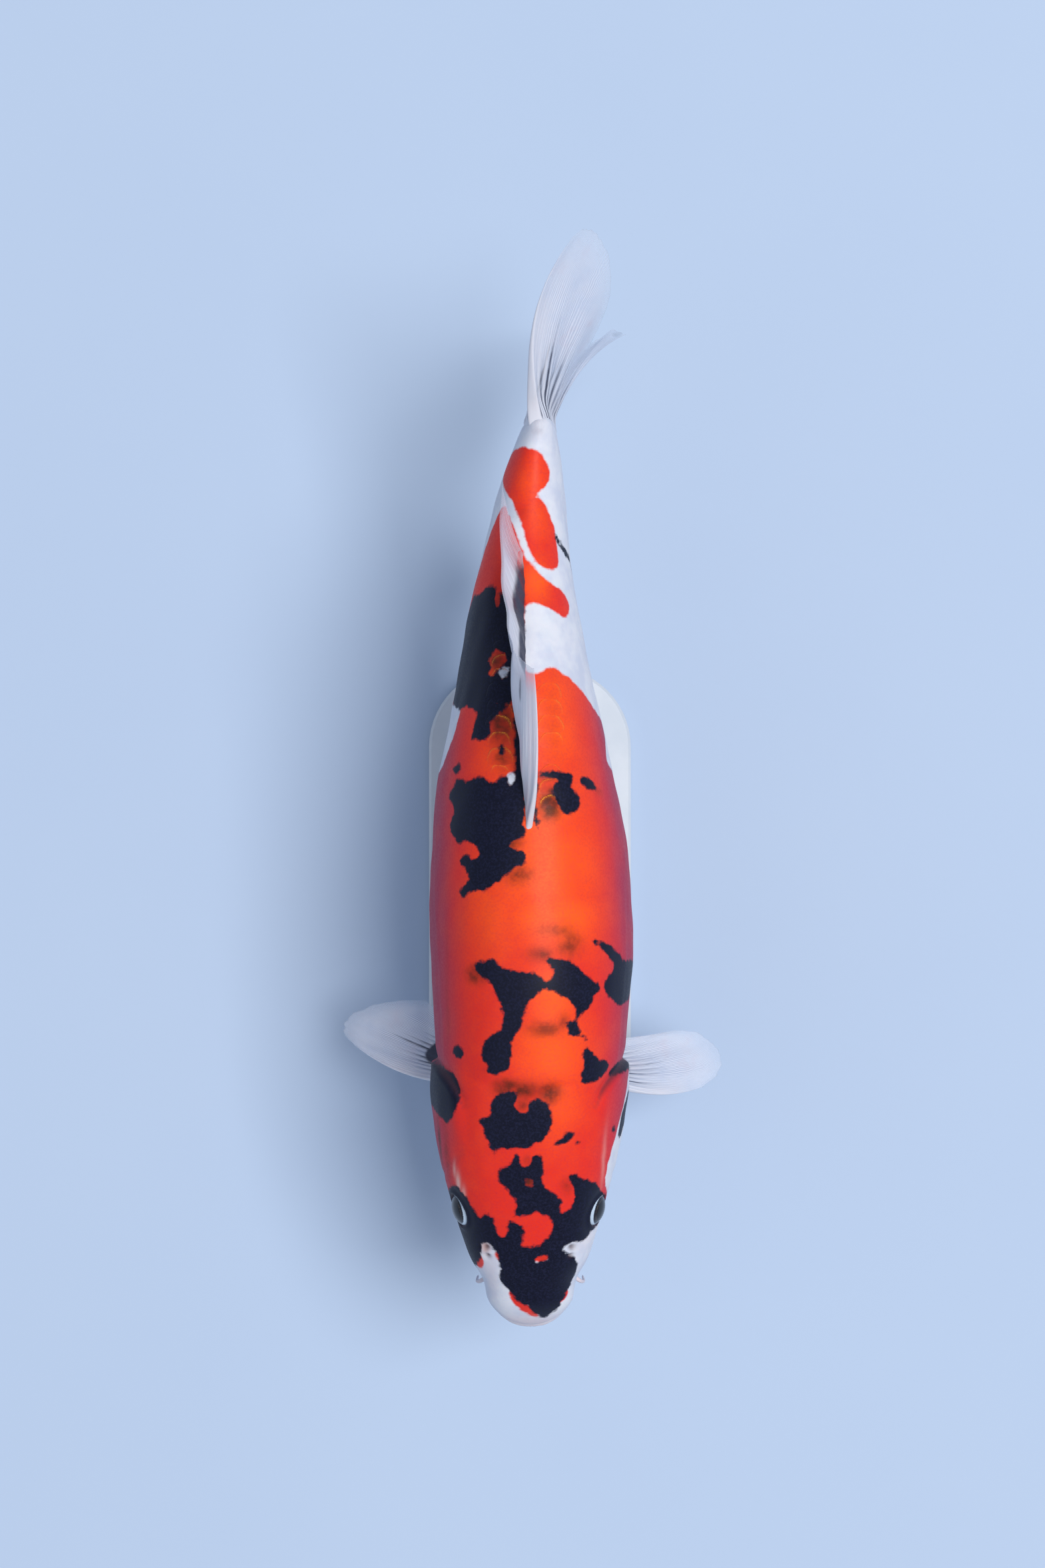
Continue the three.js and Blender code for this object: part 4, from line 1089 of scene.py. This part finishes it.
def finForm(fin, share, ray, dice):
    # the two faces of a fin, with its forked rays, folds and torn tip
    bend = (finBuild["bendWide"] * np.sin(ray * 17 + dice.uniform(0, 6))
            + finBuild["bendFine"] * np.sin(ray * 41 + dice.uniform(0, 6)))
    phase = (ray + bend * share) * fin["rays"]
    coarse, forked = 0.5 + 0.5 * np.cos(2 * math.pi * phase), 0.5 + 0.5 * np.cos(4 * math.pi * phase)
    fork = smoothStep(finBuild["forkFrom"], finBuild["forkTo"], share)
    fade = 1 - finBuild["forkFade"] * smoothStep(0.6, 0.95, share)
    ridge = coarse ** 1.6 * (1 - fork) + finBuild["forkHeight"] * forked ** 1.3 * fork * fade
    uneven = dice.normal(size=fin["rays"] + 3)
    uneven = smoothLaw(list(zip(np.linspace(0, 1, len(uneven)), uneven)))(ray)
    outer = smoothStep(0.7, 1, share)
    reach = share * (1 + finBuild["ragged"] * (uneven + 0.8 * coarse - 0.8) * outer)
    reach -= fin["tipRound"] * outer * (bell(ray, 0.05) + 0.5 * bell(1 - ray, 0.05))
    sheet = finSheet(fin, reach, ray)
    normal = unit(np.cross(np.gradient(sheet, axis=0), np.gradient(sheet, axis=1)))
    spread = share.clip(0)
    wave = fin["wave"] * spread ** 1.5 * np.sin(ray * 9 + 3 * share + dice.uniform(0, 6))
    fold = fin["fold"] * np.sin(ray * 30 + 2.5 * share + dice.uniform(0, 6)) * smoothStep(0.02, 0.3, share)
    sheet = sheet + normal * (wave + fold * (1 - 0.7 * spread))[..., None]

    taper = np.clip(1 - share, 0, 1) ** finBuild["taper"]
    leading = 1 + finBuild["leadingSwell"] * bell(ray, 0.03) * (1 - spread * 0.6)
    thin = finBuild["edgeThick"]
    half = 0.5 * (thin * leading + (fin["rootThick"] - thin) * taper)
    swell = fin["rootSwell"] * (1 - smoothStep(0, 0.2, share)) * np.sqrt(1 - (2 * ray - 1) ** 2)
    half = (half ** 3 + swell ** 3) ** (1 / 3) * (0.3 + 0.7 * smoothStep(-finBuild["underSkin"], 0, share))
    rim = (np.minimum(np.minimum(ray, 1 - ray), 1 - share) / finBuild["rimShare"]).clip(0, 1)
    least = finBuild["rimThin"]
    half = half * (least + (1 - least) * np.sqrt(1 - (1 - rim) ** 2))
    raised = finBuild["rayHeight"] * ridge * (1 - finBuild["rayFade"] * spread)
    half = half + raised * rim * smoothStep(0, 0.12, share)
    faces = [(sheet + way * normal * half[..., None]).reshape(-1, 3) for way in (1, -1)]
    return np.concatenate(faces), phase, ridge


def finMarks(fin, share, ray, phase, ridge, dice):
    # dark between the rays, stripe by stripe, then the dark spots, and how solid the sheet is
    rays = fin["rays"]
    stripe = np.rint(phase - 0.5).astype(int).clip(0, rays)
    low, high = fin["streakReach"]
    arch = np.sin(math.pi * (np.arange(rays + 1) / rays) ** fin["streakLean"])
    ends = dice.uniform(low, high, rays + 1) * (0.35 + 0.65 * arch)
    strength = dice.uniform(0.4, 1, rays + 1)
    gone = share.clip(0) / ends[stripe]
    between = (0.5 - 0.5 * np.cos(2 * math.pi * phase)) ** (fin["streakThin"] * (1 + 2 * gone.clip(0, 1)))
    streak = (fin["streak"] * strength[stripe] * between
              * smoothStep(-0.02, 0.03, share) * (1 - smoothStep(0.3, 1, gone)))
    dark = np.zeros(share.shape)
    for spotShare, spotRay, reachShare, reachRay, strong in fin["darkSpots"]:
        away = np.hypot((share - spotShare) / reachShare, (ray - spotRay) / reachRay)
        dark = np.maximum(dark, strong * (1 - smoothStep(0.6, 1.15, away)))
    sheer = fin["sheer"] * smoothStep(0.86, 0.99, ray) * smoothStep(0.05, 0.2, share)
    clear = (1 - sheer) * (1 - finBuild["tipClear"] * smoothStep(0.8, 1, share))
    marks = {
        "ridge": ridge, "share": share.clip(0, 1), "ray": ray, "phase": phase,
        "streak": np.maximum(streak, dark).clip(0, 1), "clear": np.maximum(clear, dark),
        "flesh": fin["flesh"] * (1 - smoothStep(0.8, 0.95, ray)),
    }
    return {label: np.tile(values.ravel(), 2) for label, values in marks.items()}


def finFaces(rows, columns):
    count = rows * columns
    top = gridFaces(rows, columns, closed=False)
    foot = [face[::-1] for face in gridFaces(rows, columns, closed=False, start=count)]
    table = np.arange(count).reshape(rows, columns)
    border = np.concatenate([table[0], table[1:, -1], table[-1, -2::-1], table[-2:0:-1, 0]]).tolist()
    rim = [[a, a + count, b + count, b] for a, b in zip(border, border[1:] + border[:1])]
    return top + foot + rim


def makeFin(name, node, fin, turn=1, seed=1):
    rows, columns, sunk = finBuild["rows"], fin["rays"] * finBuild["perRay"] + 1, finBuild["underSkin"]
    share, ray = np.meshgrid(np.linspace(-sunk, 1, rows), np.linspace(0, 1, columns), indexing="ij")
    dice = np.random.default_rng(seed)
    points, phase, ridge = finForm(fin, share, ray, dice)
    marks = finMarks(fin, share, ray, phase, ridge, dice)
    faces = finFaces(rows, columns)
    if turn > 0:
        faces = [face[::-1] for face in faces]
    flat = np.stack([ray.ravel(), (share.ravel() + sunk) / (1 + sunk)], -1)
    patch = np.concatenate([flat * [0.48, 0.96] + [0.01, 0.02], flat * [0.48, 0.96] + [0.51, 0.02]])
    piece = makePiece(name, points * [turn, 1, 1], faces, marks, patch, replaces=[node])
    piece.data.materials.append(finMaterial)


finLook = {
    "flesh": (0.70, 0.70, 0.76, 1), "membrane": (0.46, 0.51, 0.66, 1), "ray": (0.78, 0.79, 0.86, 1),
    "outer": (0.50, 0.59, 0.77, 1), "streak": (0.016, 0.019, 0.048, 1), "warm": (0.66, 0.52, 0.58, 1),
    "roughness": 0.45, "gloss": 0.25, "wetness": 0.12, "wetRoughness": 0.25, "softness": 0.12,
    "alpha": 0.5, "bump": 0.25,
}


def makeFinMaterial(name):
    material, tree, shader = startMaterial(name)
    share, ridge, ray = markNode(tree, "share"), markNode(tree, "ridge"), markNode(tree, "ray")
    cloud, fine = noiseNode(tree, 70, 3), noiseNode(tree, 900, 3)

    # fine stripes that fork towards the edge
    drift = noiseNode(tree, 130, 2, stretch=(1, 0.4, 1))
    phase = sumNode(tree, drift, 0.3, "MULTIPLY_ADD", markNode(tree, "phase"))
    turns = sumNode(tree, phase, 8 * math.pi, "MULTIPLY")
    twice = sumNode(tree, turns, 2, "MULTIPLY")
    pattern = mixNode(tree, rangeNode(tree, share, 0.2, 0.5, 0, 1), ridge, stripesNode(tree, turns))
    pattern = mixNode(tree, rangeNode(tree, share, 0.6, 0.85, 0, 1), pattern, stripesNode(tree, twice))

    base = mixNode(tree, rangeNode(tree, share, 0.3, 1, 0, 1), finLook["membrane"], finLook["outer"])
    rays = mixNode(tree, rangeNode(tree, share, 0.1, 0.5, 0, 1), finLook["flesh"], finLook["ray"])
    colour = mixNode(tree, rangeNode(tree, pattern, 0.0, 1.0, 0.25, 0.75), base, rays)
    colour = mixNode(tree, rangeNode(tree, cloud, 0.45, 0.8, 0, 0.45), colour, finLook["outer"])
    colour = mixNode(tree, rangeNode(tree, cloud, 0.45, 0.2, 0, 0.35), colour, finLook["warm"])
    leading, trailing = rangeNode(tree, ray, 0.02, 0.26, 0.88, 0), rangeNode(tree, ray, 0.9, 0.98, 0, 0.2)
    rims = sumNode(tree, leading, trailing, "MAXIMUM")
    edge = sumNode(tree, rims, rangeNode(tree, share, 0.5, 0.95, 1, 0), "MULTIPLY")
    solid = sumNode(tree, rangeNode(tree, share, 0.02, 0.42, 1, 0), edge, "MAXIMUM")
    solid = sumNode(tree, solid, markNode(tree, "flesh"), "MAXIMUM")
    colour = mixNode(tree, sumNode(tree, solid, 0.58, "MULTIPLY"), colour, finLook["flesh"])
    uneven = rangeNode(tree, cloud, 0.25, 0.6, 0.75, 1.25)
    streak = sumNode(tree, markNode(tree, "streak"), uneven, "MULTIPLY", clamp=True)
    streak = rangeNode(tree, streak, 0.08, 0.85, 0, 0.96)

    clear = rangeNode(tree, pattern, 0, 1, finLook["alpha"] - 0.06, finLook["alpha"] + 0.16)
    clear = sumNode(tree, clear, streak, "MAXIMUM")
    clear = sumNode(tree, clear, sumNode(tree, solid, 0.98, "MULTIPLY"), "MAXIMUM")
    height = sumNode(tree, sumNode(tree, pattern, 0.6, "MULTIPLY"), sumNode(tree, fine, 0.3, "MULTIPLY"))
    rough = finLook["roughness"]
    setShader(tree, shader, {
        "Base Color": mixNode(tree, streak, colour, finLook["streak"]),
        "Roughness": rangeNode(tree, fine, 0.3, 0.7, rough - 0.06, rough + 0.1),
        "Alpha": sumNode(tree, clear, markNode(tree, "clear"), "MULTIPLY"),
        "Normal": bumpNode(tree, height, finLook["bump"], 0.2 * mm),
        "Specular IOR Level": finLook["gloss"], "Coat Weight": finLook["wetness"],
        "Coat Roughness": finLook["wetRoughness"], "Subsurface Weight": finLook["softness"],
        "Subsurface Radius": (1.0, 0.8, 0.8), "Subsurface Scale": 2 * mm,
    })
    return material


finMaterial = makeFinMaterial("fin_membrane")
for seed, (name, fin) in enumerate(fins.items()):
    fin = {**finDefaults, **fin}
    if name == "pelvic":
        makeFin("fin_pelvic_left", "pelvic_fin_left", fin, seed=seed + 20)
        makeFin("fin_pelvic_right", "pelvic_fin_right", fin, turn=-1, seed=seed + 40)
    else:
        makeFin("fin_" + name, fin["node"], fin, seed=seed + 20)
print("koi: fins spread")


# Eyes: a flattened ball, coloured by how far each point lies from the middle of its gaze

eyeLook = {
    "rings": 96, "around": 96,
    "radius": 9.6 * mm, "depth": 6.3 * mm, "out": 1.9 * mm,  # half width, half depth, shift along the gaze
    "pupil": 0.6, "iris": 0.80, "ring": 0.925,  # shares of the radius
    "pupilColour": (0.003, 0.004, 0.008, 1), "irisColour": (0.006, 0.008, 0.018, 1),
    "ringColour": (0.47, 0.58, 0.72, 1), "goldColour": (0.20, 0.15, 0.09, 1),
    "outerColour": (0.02, 0.022, 0.04, 1),
    "gloss": 0.25, "clearCoat": 0.38, "coatRoughness": 0.06,
}


def makeEyeMaterial(name):
    material, tree, shader = startMaterial(name)
    off, look = markNode(tree, "off"), eyeLook
    fine = noiseNode(tree, 1100, 4, 0.6)
    waver = sumNode(tree, off, swingNode(tree, fine, 0.05))
    waver = sumNode(tree, waver, sumNode(tree, markNode(tree, "above"), 0.05, "MULTIPLY"))
    pupil, iris, ring = look["pupil"], look["iris"], look["ring"]
    speckled = mixNode(tree, rangeNode(tree, fine, 0.35, 0.7, 0, 0.3), look["irisColour"], look["goldColour"])
    faded = rangeNode(tree, off, pupil + 0.02, pupil + 0.1, 0.0, 0.9)
    colour = mixNode(tree, faded, speckled, look["irisColour"])
    inPupil = rangeNode(tree, off, pupil - 0.015, pupil + 0.015, 0, 1)
    colour = mixNode(tree, inPupil, look["pupilColour"], colour)
    inIris = rangeNode(tree, waver, iris - 0.02, iris + 0.03, 0, 1)
    colour = mixNode(tree, inIris, colour, look["ringColour"])
    inRing = rangeNode(tree, off, ring - 0.01, ring + 0.02, 0, 1)
    setShader(tree, shader, {
        "Base Color": mixNode(tree, inRing, colour, look["outerColour"]),
        "Roughness": rangeNode(tree, fine, 0.3, 0.7, 0.14, 0.24),
        "Specular IOR Level": look["gloss"], "Coat Weight": look["clearCoat"],
        "Coat Roughness": look["coatRoughness"],
    })
    return material


def makeEye(name, turn):
    centre, gaze = eyeCentre(turn), gazeOf(turn)
    level = unit(np.cross(gaze, [0, 0, 1]))
    above = np.cross(level, gaze)
    off = np.linspace(0, math.pi, eyeLook["rings"])[1:-1]
    around = np.linspace(0, 2 * math.pi, eyeLook["around"], endpoint=False)
    off, around = [grid.ravel() for grid in np.meshgrid(off, around, indexing="ij")]
    middle = centre + gaze * eyeLook["out"]
    outward = np.cos(around)[:, None] * level + np.sin(around)[:, None] * above
    points = (middle + (np.cos(off) * eyeLook["depth"])[:, None] * gaze
              + (np.sin(off) * eyeLook["radius"])[:, None] * outward)
    points = np.vstack([points, middle + gaze * eyeLook["depth"], middle - gaze * eyeLook["depth"]])
    share = np.where(off < math.pi / 2, np.sin(off), 2 - np.sin(off))
    marks = {"off": np.append(share, [0, 2]), "above": np.append(np.sin(around), [0, 0])}
    off, around = np.degrees(np.append(off, [0, math.pi])), np.append(around, [0, 0])
    rows, columns = eyeLook["rings"] - 2, eyeLook["around"]
    front, rear = rows * columns, rows * columns + 1
    faces = (gridFaces(rows, columns) + fanFaces(front, 0, columns)
             + fanFaces(rear, front - columns, columns, flip=True))
    patch = 0.5 + 0.0026 * off[:, None] * np.stack([np.cos(around), np.sin(around)], -1)
    piece = makePiece(name, points, faces, marks, patch, replaces=[name.replace("ball", "eye")])
    piece.data.materials.append(eyeMaterial)
    return piece


eyeMaterial = makeEyeMaterial("eye_gloss")
makeEye("ball_left", 1)
makeEye("ball_right", -1)
print("koi: eyes set")


# Barbels: four soft feelers at the corners of the mouth

barbels = {
    "front": {
        "line": [(0.036, 0.031, -0.031), (0.043, 0.023, -0.038), (0.0455, 0.02, -0.05),
                 (0.0445, 0.022, -0.062)],
        "root": 2.0 * mm,
    },
    "rear": {
        "line": [(0.042, 0.052, -0.044), (0.054, 0.041, -0.053), (0.0595, 0.037, -0.068),
                 (0.059, 0.04, -0.088)],
        "root": 3.0 * mm,
    },
    "tip": 0.9 * mm, "rings": 40, "around": 14,
    "pull": 0.8, "footSwell": 1.2 * mm, "wrinkle": 0.05,
    "blush": 0.35, "blushTip": 0.15, "veilTip": 0.25,
}


def oneBarbel(look, turn):
    # a tapered, slightly wrinkled feeler, with its share from root to tip
    share = np.linspace(0, 1, barbels["rings"])
    line = smoothLine(pointsAt(look["line"]) * [turn, 1, 1], share)
    along = unit(np.gradient(line, axis=0))
    across = unit(np.cross(along, [0.0, 1.0, 0.2]))
    up = np.cross(along, across)
    root, tip = look["root"], barbels["tip"]
    radius = 0.5 * (tip + (root - tip) * (1 - share) ** barbels["pull"]
                    + barbels["footSwell"] * bell(share, 0.05))
    radius *= 1 + barbels["wrinkle"] * np.sin(share * 60) * (1 - share)
    radius *= np.sqrt(np.clip((1.004 - share) / 0.06, 0.02, 1))
    turns = np.linspace(0, 2 * math.pi, barbels["around"], endpoint=False)[None, :, None]
    ring = np.cos(turns) * across[:, None] + np.sin(turns) * up[:, None]
    points = line[:, None] + ring * radius[:, None, None]
    return points.reshape(-1, 3), np.repeat(share, barbels["around"])


def makeBarbels():
    rings, around = barbels["rings"], barbels["around"]
    points, faces, shares = [], [], []
    for kind in ("front", "rear"):
        for turn in (1, -1):
            start = rings * around * len(points)
            spots, share = oneBarbel(barbels[kind], turn)
            points.append(spots)
            shares.append(share)
            root = list(range(start, start + around))
            tip = [corner + (rings - 1) * around for corner in root]
            faces += gridFaces(rings, around, start=start) + [root[::-1], tip]
    shares = np.concatenate(shares)
    zero = np.zeros(len(shares))
    blush = barbels["blush"] + (barbels["blushTip"] - barbels["blush"]) * shares
    marks = {
        "red": zero - 8, "blackAndShade": zero - 8, "down": zero + 60, "blush": blush, "glow": zero,
        "veilAndShade": barbels["veilTip"] * shares, "goldGlint": zero, "hollowShade": zero,
    }
    nodes = ["barbel_front_left", "barbel_front_right", "barbel_rear_left", "barbel_rear_right"]
    piece = makePiece("barbels", np.concatenate(points), faces, marks, replaces=nodes)
    piece.data.materials.append(koiCoat)


makeBarbels()
print("koi: barbels made")


# The display stand keeps its solids: satin pale lacquer on the plate, brushed steel on the rods

standLook = {
    "lacquer": (0.58, 0.62, 0.68, 1), "lacquerShade": (0.52, 0.57, 0.64, 1),
    "steel": (0.50, 0.51, 0.53, 1), "steelLight": (0.66, 0.67, 0.69, 1),
    "coat": 0.4, "coatRoughness": 0.1, "peel": 0.06, "brushing": 0.12,
}


def lacquerMaterial(name):
    material, tree, shader = startMaterial(name)
    cloud, peel = noiseNode(tree, 30, 4), noiseNode(tree, 420, 2)
    share = rangeNode(tree, cloud, 0.35, 0.7, 0, 1)
    setShader(tree, shader, {
        "Base Color": mixNode(tree, share, standLook["lacquer"], standLook["lacquerShade"]),
        "Roughness": rangeNode(tree, cloud, 0.3, 0.7, 0.3, 0.42),
        "Normal": bumpNode(tree, peel, standLook["peel"], 0.2 * mm),
        "Coat Weight": standLook["coat"], "Coat Roughness": standLook["coatRoughness"],
    })
    return material


def steelMaterial(name):
    material, tree, shader = startMaterial(name)
    turned = noiseNode(tree, 60, 3, stretch=(1, 1, 90))
    setShader(tree, shader, {
        "Base Color": mixNode(tree, turned, standLook["steel"], standLook["steelLight"]),
        "Roughness": rangeNode(tree, turned, 0.3, 0.7, 0.24, 0.4),
        "Normal": bumpNode(tree, turned, standLook["brushing"], 0.1 * mm),
        "Metallic": 1.0,
    })
    return material


lacquer, steel = lacquerMaterial("stand_lacquer"), steelMaterial("stand_steel")
for nodeName, finish in (("stand_base", lacquer), ("stand_rod_front", steel), ("stand_rod_rear", steel),
                         ("stand_collar_front", steel), ("stand_collar_rear", steel)):
    nodeMesh = bpy.data.objects[nodeName].data
    nodeMesh.materials.clear()
    nodeMesh.materials.append(finish)
print("koi: stand finished")


# Room: a pale floor, a soft key light from above and the fish's left, a weak cool fill

room = {
    "floorSize": 20, "floor": (0.44, 0.54, 0.70, 1), "floorShade": (0.41, 0.51, 0.68, 1),
    "floorRoughness": 0.8, "floorGloss": 0.2,
    "sky": (0.78, 0.86, 1.0), "skyStrength": 0.40,
    "key": {"place": (3.1, 0.55, 7.8), "size": 4.2, "power": 660, "colour": (1.0, 0.98, 0.95)},
    "fill": {"place": (-4.4, -2.0, 5.5), "size": 5.5, "power": 60, "colour": (0.82, 0.90, 1.0)},
}


def makeFloor():
    half = room["floorSize"] / 2
    mesh = bpy.data.meshes.new("floor")
    corners = [(-half, -half, 0), (half, -half, 0), (half, half, 0), (-half, half, 0)]
    mesh.from_pydata(corners, [], [(0, 1, 2, 3)])
    floor = bpy.data.objects.new("floor", mesh)
    bpy.context.scene.collection.objects.link(floor)
    material, tree, shader = startMaterial("floor_paper")
    cloud = noiseNode(tree, 3, 4)
    setShader(tree, shader, {
        "Base Color": mixNode(tree, cloud, room["floor"], room["floorShade"]),
        "Roughness": room["floorRoughness"], "Specular IOR Level": room["floorGloss"],
    })
    mesh.materials.append(material)


def makeLight(name):
    look = room[name]
    lamp = bpy.data.lights.new(name, "AREA")
    lamp.shape, lamp.size, lamp.energy, lamp.color = "SQUARE", look["size"], look["power"], look["colour"]
    light = bpy.data.objects.new(name, lamp)
    light.location = look["place"]
    light.rotation_euler = (-light.location).to_track_quat("-Z", "Y").to_euler()
    bpy.context.scene.collection.objects.link(light)


def makeSky():
    world = bpy.data.worlds.new("studio")
    world.use_nodes = True
    background = world.node_tree.nodes["Background"]
    background.inputs["Color"].default_value = (*room["sky"], 1)
    background.inputs["Strength"].default_value = room["skyStrength"]
    bpy.context.scene.world = world


def makeCamera():
    lens = bpy.data.cameras.new("camera")
    lens.sensor_width = view["sensor"]
    lens.lens = view["sensor"] * view["height"] / view["frameHeight"]
    camera = bpy.data.objects.new("camera", lens)
    camera.location = (view["side"], snoutY + view["station"], axisHeight + view["height"])
    bpy.context.scene.collection.objects.link(camera)
    bpy.context.scene.camera = camera


makeFloor()
makeLight("key")
makeLight("fill")
makeCamera()
makeSky()
bpy.context.scene.view_settings.view_transform = "Standard"
print("koi: room lit")
